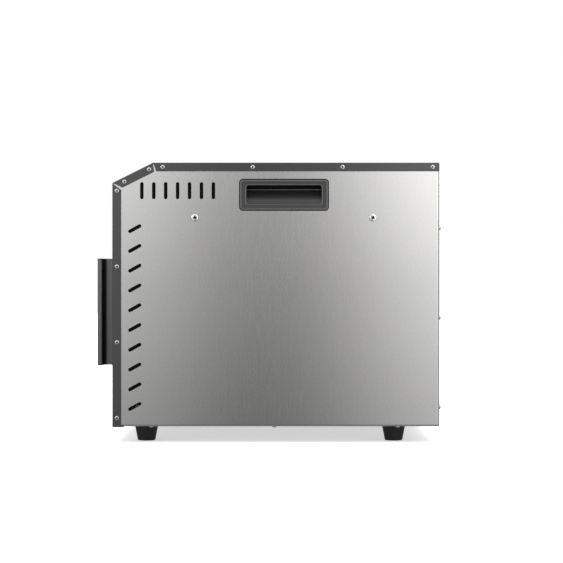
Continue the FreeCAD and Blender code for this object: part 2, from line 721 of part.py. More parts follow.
# ---- feet and fasteners ----
def foot_places():
    x = half - foot_inset
    return [(sx, y) for y in (foot_front, casing_depth - foot_rear) for sx in (-x, x)]


def feet():
    made = []
    for x, y in foot_places():
        cone = Part.makeCone(foot_bottom, foot_top, floor_plate, Vector(x, y, 0))
        cone = cone.makeFillet(1.4, [e for e in cone.Edges if abs(e.CenterOfMass.z) < 0.01
                                     and e.Length > foot_bottom * 6])
        recess = rod((x, y, -1), (x, y, foot_recess[1]), foot_recess[0])
        hole = rod((x, y, -1), (x, y, floor_plate + 1), small_screw[2] + hole_play)
        made.append(less(cone, [recess.fuse(hole)]))
    return Part.makeCompound(made)


def underside_screws():
    made = []
    for x, y in foot_places():
        made.append(pan_screw((x, y, foot_recess[1]), (0, 0, -1), small_screw,
                              floor_plate + 4 - foot_recess[1]))
    for sign in (-1, 1):
        for y in under_screw_places:
            made.append(pan_screw((sign * under_screw_x, y, under), (0, 0, -1), small_screw, 6.0))
    return Part.makeCompound(made)


def cover_screws():
    made = []
    for y, z, short in cover_screw_places():
        for sign in (-1, 1):
            made.append(pan_screw((sign * (half + sheet), y, z), (sign, 0, 0), small_screw,
                                  sheet + jamb if short else 7.0))
    return Part.makeCompound(made)


def rear_screws():
    made = [pan_screw((sign * rear_screw_x, casing_depth, z), (0, 1, 0), rear_screw, 7.0)
            for sign in (-1, 1) for z in rear_screw_places]
    x, z = inlet_place
    made += [pan_screw((x + sign * inlet_screw_x, casing_depth, z), (0, 1, 0), small_screw, 6.0)
             for sign in (-1, 1)]
    return Part.makeCompound(made)


def rack_screws():
    reach = half - chamber_half + rack_nut[1] + 0.4
    return Part.makeCompound([
        pan_screw((sign * half, y, rack_screw_z), (sign, 0, 0), rack_screw, reach)
        for sign in (-1, 1) for y in rack_screw_y
    ])


def rack_spacers():
    """Sleeves between panel and chamber wall, and the nuts inside the wall."""
    made = []
    bore_radius = rack_screw[2] + hole_play
    for sign in (-1, 1):
        for y in rack_screw_y:
            for x0, x1, r in ((chamber_half + sheet, inner_half, rack_sleeve),
                              (chamber_half - rack_nut[1], chamber_half, rack_nut[0])):
                sleeve = rod((sign * x0, y, rack_screw_z), (sign * x1, y, rack_screw_z), r)
                bore = rod((sign * (x0 - 1), y, rack_screw_z), (sign * (x1 + 1), y, rack_screw_z),
                           bore_radius)
                made.append(sleeve.cut(bore))
    return Part.makeCompound(made)


# ---- mains inlet ----
inlet_place = (112.0, 62.0)
inlet_body = (27.4, 20.0)
inlet_mouth = (24.4, 16.4)
inlet_depth = 22.0
inlet_socket = 17.0
inlet_screw_x = 20.0


def power_inlet():
    x, z = inlet_place
    back = casing_depth - sheet
    flange = rounded_bar(x - 25, x + 25, back, casing_depth, z - 12.5, z + 12.5, 4.0, (0, 1, 0))
    w, h = inlet_body[0] / 2, inlet_body[1] / 2
    body = box(x - w, x + w, back - inlet_depth, back, z - h, z + h)
    w, h = inlet_mouth[0] / 2, inlet_mouth[1] / 2
    floor = casing_depth - inlet_socket
    socket = box(x - w, x + w, floor, casing_depth + 1, z - h, z + h)
    socket = socket.makeChamfer(4.0, [e for e in socket.Edges if abs(e.tangentAt(0).y) > 0.99
                                      and all(v.Z > z for v in e.Vertexes)])
    tools = [socket] + [inlet_blade(n, 0.0) for n in range(3)]
    for sign in (-1, 1):
        screw_x = x + sign * inlet_screw_x
        tools.append(rod((screw_x, back - 1, z), (screw_x, casing_depth + 1, z),
                         small_screw[2] + hole_play))
    return less(joined([flange, body]), tools)


def inlet_blade(number, grow):
    x, z = inlet_place
    dx, dz = ((-7.0, -2.0), (7.0, -2.0), (0.0, 2.0))[number]
    floor = casing_depth - inlet_socket
    return box(x + dx - 1 - grow, x + dx + 1 + grow, casing_depth - sheet - inlet_depth - 5, floor + 14,
               z + dz - 2, z + dz + 2)


def inlet_pins():
    return Part.makeCompound([inlet_blade(n, 0.0) for n in range(3)])


# ---- control panel ----
def key_slots(grow):
    w, h = key_cap[0] / 2 + grow, key_cap[1] / 2 + grow
    return [rounded_bar(x - w, x + w, -h, h, -20, 5, 2.0, (0, 0, 1)) for x in key_places.values()]


def control_fascia():
    w, h = fascia[0] / 2, fascia[1] / 2
    raised = rounded_bar(-w, w, -h, h, -sheet, 0, 3.0, (0, 0, 1))
    back = rounded_bar(-w - fascia_lip, w + fascia_lip, -h - fascia_lip, h + fascia_lip,
                       -fascia_thick, -sheet, 4.0, (0, 0, 1))
    posts = [rod((sx * 92, sy * 14, -board_drop), (sx * 92, sy * 14, -fascia_thick), 2.5)
             for sx in (-1, 1) for sy in (-1, 1)]
    tools = key_slots(0.25)
    tools.append(rounded_bar(-lens[0] / 2, lens[0] / 2, -lens[1] / 2, lens[1] / 2, -20, 5, 2.0, (0, 0, 1)))
    return on_slope(less(joined([raised, back] + posts), tools))


def display_lens():
    w, h = lens[0] / 2, lens[1] / 2
    return on_slope(rounded_bar(-w, w, -h, h, -fascia_thick, 0, 2.0, (0, 0, 1)))


def key(name):
    """A key cap whose lip keeps it under the fascia."""
    x = key_places[name]
    w, h = key_cap[0] / 2, key_cap[1] / 2
    cap = rounded_bar(x - w, x + w, -h, h, -fascia_thick - 3.5, -0.1, 1.9, (0, 0, 1))
    lip = rounded_bar(x - w - 1.2, x + w + 1.2, -h - 1.2, h + 1.2, -fascia_thick - key_gap - 1.2,
                      -fascia_thick - key_gap, 2.0, (0, 0, 1))
    return on_slope(joined([cap, lip]))


def control_board():
    """Board with the display behind the lens and a switch under each key."""
    low = -board_drop - board_thick
    solids = [box(-126, 126, -17, 17, low, -board_drop)]
    solids.append(box(-lens[0] / 2 + 2, lens[0] / 2 - 2, -8, 8, -board_drop, -fascia_thick - 0.4))
    key_bottom = -fascia_thick - 3.5
    for x in key_places.values():
        solids.append(box(x - 3, x + 3, -3, 3, -board_drop, key_bottom - key_travel - 0.1))
    solids.append(box(-12, 12, -14, -9, low - 6, low))
    return on_slope(Part.makeCompound(solids))


def power_board():
    """Board on four posts, with transformer, relays, capacitors and connectors."""
    z, up = power_board_at, power_board_at + board_thick
    solids = [box(-70, 70, 240, 340, z, up)]
    solids.append(box(-60, -26, 252, 280, up, up + 24))
    solids.append(box(-14, 6, 250, 266, up, up + 16))
    solids.append(box(14, 34, 250, 266, up, up + 16))
    solids += [rod((x, 300, up), (x, 300, up + 20), 6.0) for x in (-50, -30)]
    solids.append(box(40, 60, 308, 318, up, up + 12))
    solids.append(box(-8, 20, 322, 332, up, up + 10))
    solids += [rod((x, y, chamber_top + sheet), (x, y, z), 3.0) for x in (-64, 64) for y in (246, 334)]
    return Part.makeCompound(solids)


def wiring():
    """Leads from the inlet and the motor to the power board, and from there to the control board."""
    x, z = inlet_place
    up = power_board_at + board_thick
    inlet_end = casing_depth - sheet - inlet_depth - 5
    aloft = up + 16
    mains = [(x, inlet_end, z + 4), (x - 2, inlet_end - 3, z + 22), (x - 4, 428, z + 70),
             (x - 6, 430, z + 150), (x - 8, 424, z + 215), (x - 14, 404, aloft + 8),
             (x - 30, 360, aloft + 6), (62, 336, aloft + 8), (50, 313, aloft + 8), (50, 313, up + 12)]
    motor = [(0, motor_plate_at + 16, fan_z + motor_radius), (2, motor_plate_at + 16, fan_z + 60),
             (4, motor_plate_at + 18, fan_z + 110), (5, motor_plate_at + 14, aloft - 16),
             (6, motor_plate_at - 6, aloft + 4), (6, 360, aloft + 6), (6, 327, aloft + 6),
             (6, 327, up + 10)]
    panel = [(0, 44, corner_z + 4 - 17), (2, 60, corner_z - 18), (4, 110, up + 14), (3, 170, up + 16),
             (-2, 215, up + 24), (-4, 258, up + 30), (-4, 258, up + 16)]
    return Part.makeCompound([lead(mains, 2.6), lead(motor, 2.0), lead(panel, 2.2)])


# ---- door ----
def door_frame():
    """Dark pan with a window."""
    front = door_set_back
    pan = box(-door_half, door_half, front, door_back, door_bottom, door_top)
    pan = pan.makeFillet(1.2, [e for e in pan.Edges if all(abs(v.Y - front) < 0.01 for v in e.Vertexes)])
    x, z0, z1 = window
    tools = [
        box(-door_half + sheet, door_half - sheet, front + sheet, door_back + 1,
            door_bottom + sheet, door_top - sheet),
        rounded_bar(-x, x, front - 1, front + 3, z0, z1, 8.0, (0, 1, 0)),
    ]
    for z in (door_bottom - 1, door_top - sheet - 1):
        tools.append(rod((pin_x, pin_y, z), (pin_x, pin_y, z + sheet + 2), pin_radius + pin_hole_play))
    for z in pull_screw_places:
        tools.append(rod((pull_screw_x, front - 1, z), (pull_screw_x, front + 3, z),
                         small_screw[2] + hole_play))
    return less(pan, tools)


def door_glass():
    x, z0, z1 = window
    lap, front = glass_lap, door_set_back + sheet
    return rounded_bar(-x - lap, x + lap, front, front + glass_thick, z0 - lap, z1 + lap, 6.0, (0, 1, 0))


def door_inner_frame():
    """Bright ring that closes the pan, with a return that clamps the glass."""
    x, z0, z1 = window
    back = door_back
    plate = box(-door_half + sheet, door_half - sheet, back - sheet, back,
                door_bottom + sheet, door_top - sheet)
    collar = rounded_bar(-x - sheet, x + sheet, door_set_back + sheet + glass_thick, back,
                         z0 - sheet, z1 + sheet, 9.0, (0, 1, 0))
    hole = rounded_bar(-x, x, 0, back + 1, z0, z1, 8.0, (0, 1, 0))
    return joined([plate, collar]).cut(hole)


def door_seal():
    """Silicone ring on the back of the door, just clear of the front frame."""
    x1, z0, z1 = chamber_half + 7.0, chamber_bottom - 7.0, chamber_top + 7.0
    z0 = max(z0, door_bottom + sheet)
    y0, y1 = door_back, frame_front - running_gap
    outer = rounded_bar(-x1, x1, y0, y1, z0, z1, 8.0, (0, 1, 0))
    inner = rounded_bar(-x1 + seal_width, x1 - seal_width, y0 - 1, y1 + 1, z0 + seal_width - 1.5,
                        z1 - seal_width, 5.0, (0, 1, 0))
    return outer.cut(inner)


pull_right = door_half - 3.0
pull_left = pull_right - pull_lip[0]
pull_screw_x = pull_left + pull_base[0] * 0.6
pull_screw_places = [pull_middle - pull_length * 0.38, pull_middle + pull_length * 0.38]


def door_pull():
    """A length of profile: a base on the door, a web, and a lip towards the door's edge."""
    low, high = pull_middle - pull_length / 2, pull_middle + pull_length / 2
    face, nose = door_set_back, -pull_reach
    points = [
        (pull_left, face), (pull_left, nose), (pull_right, nose), (pull_right, nose + pull_lip[1]),
        (pull_left + pull_web, nose + pull_lip[1]), (pull_left + pull_web, face - pull_base[1]),
        (pull_left + pull_base[0], face - pull_base[1]), (pull_left + pull_base[0], face),
    ]
    corners = [Vector(x, y, low) for x, y in points]
    solid = Part.Face(Part.makePolygon(corners + corners[:1])).extrude(Vector(0, 0, high - low))

    def upright(n):
        x, y = points[n]
        return [e for e in solid.Edges
                if all(abs(v.X - x) < 0.01 and abs(v.Y - y) < 0.01 for v in e.Vertexes)]

    solid = solid.makeFillet(2.2, upright(1) + upright(2) + upright(3))
    solid = solid.makeFillet(5.5, upright(4))
    solid = solid.makeFillet(1.5, upright(5))
    tools = [rod((pull_screw_x, face - 1.6, z), (pull_screw_x, face + 1, z), small_screw[2] + hole_play)
             for z in pull_screw_places]
    return less(solid, tools)


def pull_screws():
    return Part.makeCompound([
        pan_screw((pull_screw_x, door_set_back + sheet, z), (0, 1, 0), small_screw, sheet + 1.5)
        for z in pull_screw_places
    ])


def hinge_blocks():
    """Blocks in the door's corners, bored for the hinge pins."""
    made = []
    width, high = hinge_block
    x0 = -door_half + sheet
    for z0 in (door_bottom + sheet, door_top - sheet - high):
        block = box(x0, x0 + width, door_set_back + sheet, door_back - sheet, z0, z0 + high)
        made.append(block.cut(rod((pin_x, pin_y, z0 - 1), (pin_x, pin_y, z0 + high + 1),
                                  pin_radius + pin_play)))
    return Part.makeCompound(made)


def hinge_pin(sign):
    """Plate behind the cover with a shouldered pin: sign is 1 for the upper one."""
    edge = door_top if sign > 0 else door_bottom
    face = edge + sign * door_gap + sign * sheet
    low, high = sorted((face, face + sign * hinge_plate[1]))
    plate = box(-plate_half, -plate_half + hinge_plate[0], sheet, frame_front, low, high)
    tip = edge - sign * (sheet + hinge_block[1] - pin_end_gap)
    pin = rod((pin_x, pin_y, tip), (pin_x, pin_y, face + sign), pin_radius)
    shoulder = rod((pin_x, pin_y, edge + sign * running_gap), (pin_x, pin_y, edge + sign * door_gap),
                   pin_radius + hinge_shoulder)
    return joined([plate, pin, shoulder])


def door_magnet():
    x = opening_half - 0.5
    return box(x - 5.5, x, door_back + running_gap, frame_front, pull_middle - 15, pull_middle + 15)


# ---- write every node ----
def export(name, shape):
    shape = Part.makeCompound([s.copy() for s in shape.Solids])
    shape.translate(Vector(0, front_y, 0))
    if not shape.Solids or not all(s.isValid() for s in shape.Solids):
        raise ValueError(name + " has no valid solid")
    shape.exportStep(os.path.join("parts", name + ".step"))
    print(name, len(shape.Solids), "solids", round(shape.Volume))


def main():
    os.makedirs("parts", exist_ok=True)
    panel, wall, ribs, cup = side_panel(), chamber_wall(), rails(), carry_handle()
    nodes = {
        "front_top_cover": cover(),
        "side_panel_right": panel,
        "side_panel_left": mirrored(panel),
        "rear_panel": rear_panel(),
        "bottom_panel": bottom_panel(),
        "front_frame": front_frame(),
        "chamber_wall_right": wall,
        "chamber_wall_left": mirrored(wall),
        "chamber_ceiling": chamber_ceiling(),
        "chamber_floor": chamber_floor(),
        "tray_rails_right": ribs,
        "tray_rails_left": mirrored(ribs),
        "air_baffle": air_baffle(),
        "fan_guard": fan_guard(),
        "motor_plate": motor_plate(),
        "fan_motor": fan_motor(),
        "fan_impeller": fan_impeller(),
        "fan_shaft": fan_shaft(),
        "heater_element": heater_element(),
        "thermal_cutout": thermal_cutout(),
        "temperature_probe": temperature_probe(),
        "carry_handle_right": cup,
        "carry_handle_left": mirrored(cup),
        "feet": feet(),
        "underside_screws": underside_screws(),
        "cover_screws": cover_screws(),
        "rear_screws": rear_screws(),
        "rack_screws": rack_screws(),
        "rack_spacers": rack_spacers(),
        "power_inlet": power_inlet(),
        "inlet_pins": inlet_pins(),
        "control_fascia": control_fascia(),
        "display_lens": display_lens(),
        "control_board": control_board(),
        "power_board": power_board(),
        "wiring": wiring(),
        "door_frame": door_frame(),
        "door_inner_frame": door_inner_frame(),
        "door_glass": door_glass(),
        "door_seal": door_seal(),
        "door_pull": door_pull(),
        "pull_screws": pull_screws(),
        "hinge_blocks": hinge_blocks(),
        "hinge_pins": Part.makeCompound([hinge_pin(1), hinge_pin(-1)]),
        "door_magnet": door_magnet(),
    }
    for name in key_places:
        nodes["key_" + name] = key(name)
    lowest = tray()
    for number in range(levels):
        nodes["tray_%02d" % (number + 1)] = lowest.translated(Vector(0, 0, number * tray_pitch))
    for name, shape in nodes.items():
        export(name, shape)
    print(len(nodes), "nodes")


main()
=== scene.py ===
import math
import random
import bmesh
import bpy
from mathutils import Matrix, Vector


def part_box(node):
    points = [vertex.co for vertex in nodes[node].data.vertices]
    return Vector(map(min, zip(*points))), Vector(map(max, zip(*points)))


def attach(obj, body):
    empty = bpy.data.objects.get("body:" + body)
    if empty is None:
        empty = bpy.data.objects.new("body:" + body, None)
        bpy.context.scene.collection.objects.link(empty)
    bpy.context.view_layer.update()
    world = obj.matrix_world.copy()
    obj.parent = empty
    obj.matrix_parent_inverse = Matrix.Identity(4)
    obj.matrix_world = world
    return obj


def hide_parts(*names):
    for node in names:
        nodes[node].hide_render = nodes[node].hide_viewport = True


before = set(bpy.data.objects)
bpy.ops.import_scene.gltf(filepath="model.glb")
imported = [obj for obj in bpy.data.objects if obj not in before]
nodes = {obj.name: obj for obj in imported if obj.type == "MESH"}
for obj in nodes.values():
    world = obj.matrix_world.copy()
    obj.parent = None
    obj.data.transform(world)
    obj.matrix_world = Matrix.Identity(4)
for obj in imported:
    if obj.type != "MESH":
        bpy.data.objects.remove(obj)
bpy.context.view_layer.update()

mm = 0.001
random.seed(7)
print("frame loaded,", len(nodes), "nodes")


# a Wire is one output of a shader node, and sums on Wires add Math nodes
class Wire:
    def __init__(self, tree, socket):
        self.tree = tree
        self.socket = socket

    def node(self, kind, settings=None, values=None, out=0):
        made = self.tree.nodes.new("ShaderNode" + kind)
        for key, value in (settings or {}).items():
            if key == "stops":
                ramp = made.color_ramp.elements
                while len(ramp) < len(value):
                    ramp.new(0.5)
                for stop, (at, shade) in zip(ramp, value):
                    stop.position = at
                    stop.color = (*shade, 1) if isinstance(shade, tuple) else (shade, shade, shade, 1)
            else:
                setattr(made, key, value)
        for key, value in (values or {}).items():
            if isinstance(value, Wire):
                self.tree.links.new(value.socket, made.inputs[key])
            else:
                made.inputs[key].default_value = value
        return Wire(self.tree, made.outputs[out])

    def maths(self, operation, *values, clamp=False):
        settings = {"operation": operation, "use_clamp": clamp}
        return self.node("Math", settings, dict(enumerate(values)))

    def __add__(self, other):
        return self.maths("ADD", self, other)

    def __sub__(self, other):
        return self.maths("SUBTRACT", self, other)

    def __mul__(self, other):
        return self.maths("MULTIPLY", self, other)

    def __rsub__(self, other):
        return self.maths("SUBTRACT", other, self)

    __radd__ = __add__
    __rmul__ = __mul__

    def clamped(self):
        return self.maths("ADD", self, 0.0, clamp=True)

    def scaled(self, x, y, z):
        return self.node("VectorMath", {"operation": "MULTIPLY"}, {0: self, 1: (x, y, z)})

    def noise(self, scale, detail=2.0, rough=0.5):
        return self.node("TexNoise", None, {"Vector": self, "Scale": scale, "Detail": detail,
                                            "Roughness": rough})

    def cells(self, scale, feature="F1"):
        return self.node("TexVoronoi", {"feature": feature}, {"Vector": self, "Scale": scale})

    def between(self, low, high, newLow=0.0, newHigh=1.0):
        return self.node("MapRange", None, {"Value": self, "From Min": low, "From Max": high,
                                            "To Min": newLow, "To Max": newHigh})

    def tint(self, first, second):
        # self is the factor between two colours
        values = {0: self, 6: first, 7: second}
        values = {k: (*v, 1) if isinstance(v, tuple) else v for k, v in values.items()}
        return self.node("Mix", {"data_type": "RGBA"}, values, out=2)

    def bump(self, strength, distance):
        return self.node("Bump", None, {"Strength": strength, "Distance": distance, "Height": self})

    def axes(self):
        made = self.node("SeparateXYZ", None, {0: self})
        outs = made.socket.node.outputs
        return [Wire(self.tree, outs[n]) for n in range(3)]


finishes = {}


def finish(name, fixed, recipe):
    # fixed values go straight on the shader, and recipe(place) gives what varies
    made = bpy.data.materials.new(name)
    made.use_nodes = True
    tree = made.node_tree
    tree.nodes.clear()
    target = tree.nodes.new("ShaderNodeOutputMaterial")
    shader = tree.nodes.new("ShaderNodeBsdfPrincipled")
    tree.links.new(shader.outputs[0], target.inputs["Surface"])
    for key, value in fixed.items():
        shader.inputs[key].default_value = (*value, 1) if isinstance(value, tuple) else value
    start = tree.nodes.new("ShaderNodeTexCoord")
    place = Wire(tree, start.outputs["Object"])
    for key, wire in recipe(place).items():
        tree.links.new(wire.socket, shader.inputs[key])
    finishes[name] = made


# brushed sheets: marks to the metre across and up the sheet
panelGrain = {"streak": 620, "streakUp": 30, "hair": 2400, "hairUp": 75, "dark": (0.388, 0.385, 0.376),
              "light": (0.412, 0.409, 0.400), "rough": 0.27, "roughSpread": 0.04, "lift": 0.08,
              "along": 0.65, "depth": 0.05 * mm}
pullGrain = {"streak": 900, "streakUp": 30, "hair": 3600, "hairUp": 90, "dark": (0.090, 0.091, 0.093),
             "light": (0.130, 0.131, 0.134), "rough": 0.33, "roughSpread": 0.1, "lift": 0.2,
             "along": 0.5, "depth": 0.05 * mm}


def verticalGrain(place, spec):
    # short streaks up the sheet, with finer hairs between them
    streak = place.scaled(1, 1, spec["streakUp"] / spec["streak"]).noise(spec["streak"], 3.0, 0.6)
    hair = place.scaled(1, 1, spec["hairUp"] / spec["hair"]).noise(spec["hair"], 2.0, 0.7)
    cloud = place.noise(5.0, 2.0)
    both = streak * 0.5 + hair * 0.5
    tone = both.between(0.3, 0.7)
    shade = (tone * 0.85 + cloud * 0.15).clamped().tint(spec["dark"], spec["light"])
    rough = spec["rough"] + (tone - 0.5) * spec["roughSpread"] + (cloud - 0.5) * 0.03
    return {"Base Color": shade, "Roughness": rough, "Normal": both.bump(spec["lift"], spec["depth"])}


for name, spec in (("brushedSteel", panelGrain), ("anodisedGraphite", pullGrain)):
    finish(name, {"Metallic": 1.0, "Anisotropic": spec["along"]}, lambda place: verticalGrain(place, spec))

coat = {"low": (0.031, 0.0315, 0.0325), "high": (0.046, 0.0465, 0.048), "rough": 0.36, "peel": 1500,
        "fleck": 3800, "lift": 0.18, "depth": 0.05 * mm}


def powderCoat(place):
    # fine orange peel with a pearl fleck in it
    peel = place.noise(coat["peel"], 3.0, 0.6)
    fleck = place.cells(coat["fleck"]).between(0.05, 0.35, 1.0, 0.0)
    cloud = place.noise(6.0, 2.0)
    shade = (peel * 0.55 + cloud * 0.25 + fleck * 0.2).clamped().tint(coat["low"], coat["high"])
    rough = coat["rough"] + (peel - 0.5) * 0.12 + (cloud - 0.5) * 0.06
    return {"Base Color": shade, "Roughness": rough,
            "Normal": (peel * 0.8 + fleck * 0.2).bump(coat["lift"], coat["depth"])}


finish("anthraciteCoat", {"Metallic": 0.35, "Specular IOR Level": 0.5}, powderCoat)

# the outside tone darkens the chamber's faces towards the casing as painted shade
chamber = {"line": 1800, "dark": (0.42, 0.415, 0.405), "light": (0.62, 0.615, 0.6), "rough": 0.28,
           "lift": 0.12, "depth": 0.05 * mm, "outsideShade": (0.05, 0.049, 0.047), "outsideShadeRough": 0.25,
           "wallFace": 155.6 * mm, "overTop": 0.4 * mm}


def chamberSheet(place):
    line = place.scaled(1, 0.02, 1).noise(chamber["line"], 3.0, 0.6)
    cloud = place.noise(9.0, 3.0)
    shade = (line * 0.6 + cloud * 0.4).tint(chamber["dark"], chamber["light"])
    return {"Base Color": shade, "Roughness": chamber["rough"] + line * 0.12,
            "Normal": line.bump(chamber["lift"], chamber["depth"])}


def chamberShell(place):
    # polished inside, and painted shade on the faces towards the casing and over the top: darker and rougher
    # there
    made = chamberSheet(place)
    x, y, z = place.axes()
    beside = x.maths("ABSOLUTE").maths("GREATER_THAN", chamber["wallFace"])
    over = z.maths("GREATER_THAN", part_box("chamber_wall_right")[1][2] + chamber["overTop"])
    outside = beside.maths("MAXIMUM", over)
    made["Base Color"] = outside.tint(made["Base Color"], chamber["outsideShade"])
    made["Roughness"] = made["Roughness"] + outside * chamber["outsideShadeRough"]
    return made


finish("chamberSteel", {"Metallic": 1.0}, chamberSheet)
finish("chamberShell", {"Metallic": 1.0}, chamberShell)

zinc = {"crystal": 140.0, "speck": 1400, "dark": (0.42, 0.43, 0.44), "light": (0.53, 0.54, 0.555),
        "rough": 0.34, "roughSpread": 0.05, "lift": 0.1, "depth": 0.05 * mm}


def spangle(place):
    # zinc crystals, each with its own brightness
    crystal = place.node("TexVoronoi", {"feature": "F1"}, {"Vector": place, "Scale": zinc["crystal"]}, out=1)
    facet = crystal.axes()[0]
    speck = place.noise(zinc["speck"], 2.0)
    shade = (facet * 0.45 + speck * 0.55).tint(zinc["dark"], zinc["light"])
    return {"Base Color": shade, "Roughness": zinc["rough"] + facet * zinc["roughSpread"],
            "Normal": speck.bump(zinc["lift"], zinc["depth"])}


finish("zincSheet", {"Metallic": 1.0}, spangle)

# plated and cast metal: darkest, lightest, roughness
metals = {
    "wireSteel": ((0.5, 0.5, 0.49), (0.7, 0.7, 0.69), 0.22),
    "screwPlate": ((0.5, 0.495, 0.48), (0.78, 0.775, 0.76), 0.2),
    # the recess finish is painted shade for the bottom of the screw recesses
    "recessSoot": ((0.02, 0.02, 0.02), (0.05, 0.05, 0.05), 0.5),
    "screwNickel": ((0.36, 0.355, 0.345), (0.56, 0.555, 0.545), 0.24),
    "castZinc": ((0.25, 0.25, 0.255), (0.38, 0.38, 0.385), 0.38),
    "wheelSheet": ((0.45, 0.46, 0.47), (0.62, 0.63, 0.64), 0.3),
    "nickelPin": ((0.6, 0.57, 0.5), (0.75, 0.72, 0.65), 0.22),
    "elementSheath": ((0.2, 0.16, 0.13), (0.36, 0.31, 0.27), 0.42),
}


def tumbled(place, low, high, rough):
    spot = place.noise(900, 3.0, 0.6)
    cloud = place.noise(40, 2.0)
    shade = (spot * 0.5 + cloud * 0.5).tint(low, high)
    return {"Base Color": shade, "Roughness": rough + (spot - 0.5) * 0.14,
            "Normal": spot.bump(0.08, 0.04 * mm)}


for name, spec in metals.items():
    finish(name, {"Metallic": 1.0}, lambda place: tumbled(place, *spec))

# plastic, rubber and foam: specular level, darkest, lightest, roughness, pebbles to the metre, their depth
mouldings = {
    "handlePlastic": (0.45, (0.018, 0.018, 0.0185), (0.030, 0.030, 0.0305), 0.42, 1100, 0.1 * mm),
    # the rim plastic is lighter as a painted highlight on the handle's rolled edge, mouth lip and bead
    "rimPlastic": (0.5, (0.075, 0.075, 0.077), (0.095, 0.095, 0.097), 0.3, 900, 0.04 * mm),
    # the cup inside is near black as painted shade in the handle's channel
    "cupInside": (0.12, (0.0025, 0.0025, 0.0026), (0.0045, 0.0045, 0.0046), 0.7, 1100, 0.1 * mm),
    # the gasket rubber is a dark ring under the bezel, and also painted shade on the bezel's side faces
    "gasketRubber": (0.05, (0.002, 0.002, 0.0021), (0.005, 0.005, 0.0051), 0.7, 900, 0.05 * mm),
    # the slot foam is near black as painted shade behind the slots
    "filterFoam": (0.05, (0.0015, 0.0015, 0.0016), (0.0045, 0.0045, 0.0046), 0.9, 1500, 0.4 * mm),
    "keyPlastic": (0.5, (0.030, 0.031, 0.034), (0.042, 0.043, 0.047), 0.4, 2200, 0.05 * mm),
    "inletPlastic": (0.45, (0.012, 0.012, 0.013), (0.022, 0.022, 0.023), 0.38, 1600, 0.06 * mm),
    "footRubber": (0.2, (0.007, 0.007, 0.0074), (0.017, 0.017, 0.0175), 0.62, 1300, 0.12 * mm),
    "sealSilicone": (0.4, (0.16, 0.16, 0.165), (0.22, 0.22, 0.225), 0.5, 900, 0.05 * mm),
    "boardMask": (0.5, (0.01, 0.075, 0.03), (0.02, 0.12, 0.05), 0.3, 700, 0.04 * mm),
    "partPlastic": (0.5, (0.02, 0.02, 0.022), (0.05, 0.05, 0.055), 0.36, 900, 0.05 * mm),
    "wireJacket": (0.5, (0.018, 0.018, 0.02), (0.03, 0.03, 0.032), 0.34, 1200, 0.04 * mm),
}


def moulded(place, low, high, rough, pebble, depth):
    # spark-eroded texture of a moulding tool
    stipple = place.cells(pebble).between(0.0, 0.6)
    soft = place.noise(pebble * 0.6, 3.0, 0.6)
    cloud = place.noise(14, 2.0)
    shade = (soft * 0.6 + cloud * 0.4).tint(low, high)
    return {"Base Color": shade, "Roughness": rough + (soft - 0.5) * 0.16 + (cloud - 0.5) * 0.06,
            "Normal": (stipple * 0.5 + soft * 0.5).bump(0.35, depth)}


for name, (specular, *spec) in mouldings.items():
    finish(name, {"Specular IOR Level": specular}, lambda place: moulded(place, *spec))

# smooth plastic, glass fronts and print: fixed shader values, darkest, lightest, roughness
glosses = {
    "fasciaGloss": ({"Coat Weight": 0.6, "Coat Roughness": 0.06}, (0.007, 0.007, 0.008),
                    (0.011, 0.011, 0.012), 0.12),
    "lensGloss": ({"Coat Weight": 0.8, "Coat Roughness": 0.03}, (0.003, 0.004, 0.005),
                  (0.006, 0.007, 0.009), 0.05),
    "printWhite": ({}, (0.62, 0.63, 0.64), (0.72, 0.73, 0.74), 0.4),
    "printRed": ({}, (0.5, 0.04, 0.03), (0.6, 0.06, 0.04), 0.4),
    "digitGlow": ({"Emission Strength": 1.4, "Emission Color": (0.35, 0.75, 1.0)}, (0.3, 0.6, 0.8),
                  (0.4, 0.7, 0.9), 0.4),
}


def polished(place, low, high, rough):
    dust = place.noise(1900, 2.0, 0.6)
    cloud = place.noise(18, 3.0)
    return {"Base Color": cloud.tint(low, high), "Roughness": rough + dust * 0.05 + cloud * 0.03,
            "Normal": cloud.bump(0.03, 0.2 * mm)}


for name, (fixed, *spec) in glosses.items():
    finish(name, fixed, lambda place: polished(place, *spec))

smoke = {"dark": (0.40, 0.42, 0.43), "light": (0.44, 0.46, 0.47), "rough": 0.004, "roughSpread": 0.008}


def smokedGlass(place):
    film = place.noise(14, 3.0)
    return {"Base Color": film.tint(smoke["dark"], smoke["light"]),
            "Roughness": smoke["rough"] + film * smoke["roughSpread"]}


finish("doorGlass", {"Transmission Weight": 0.98, "IOR": 1.5, "Specular IOR Level": 0.5}, smokedGlass)
print("finishes made,", len(finishes))

# a new piece with its finishes, riding on a body and filed under a material slot
def addPiece(name, mesh, bodyName, finishName, smoothAngle=40):
    made = bpy.data.objects.new(name, mesh)
    bpy.context.scene.collection.objects.link(made)
    if not mesh.materials:
        for each in finishName if isinstance(finishName, tuple) else (finishName,):
            mesh.materials.append(finishes[each])
    for face in mesh.polygons:
        face.use_smooth = True
    if smoothAngle:
        mesh.set_sharp_from_angle(angle=math.radians(smoothAngle))
    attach(made, bodyName)
    return made


def meshOf(builder, name):
    bm = bmesh.new()
    builder(bm)
    bmesh.ops.recalc_face_normals(bm, faces=bm.faces)
    mesh = bpy.data.meshes.new(name)
    bm.to_mesh(mesh)
    bm.free()
    return mesh


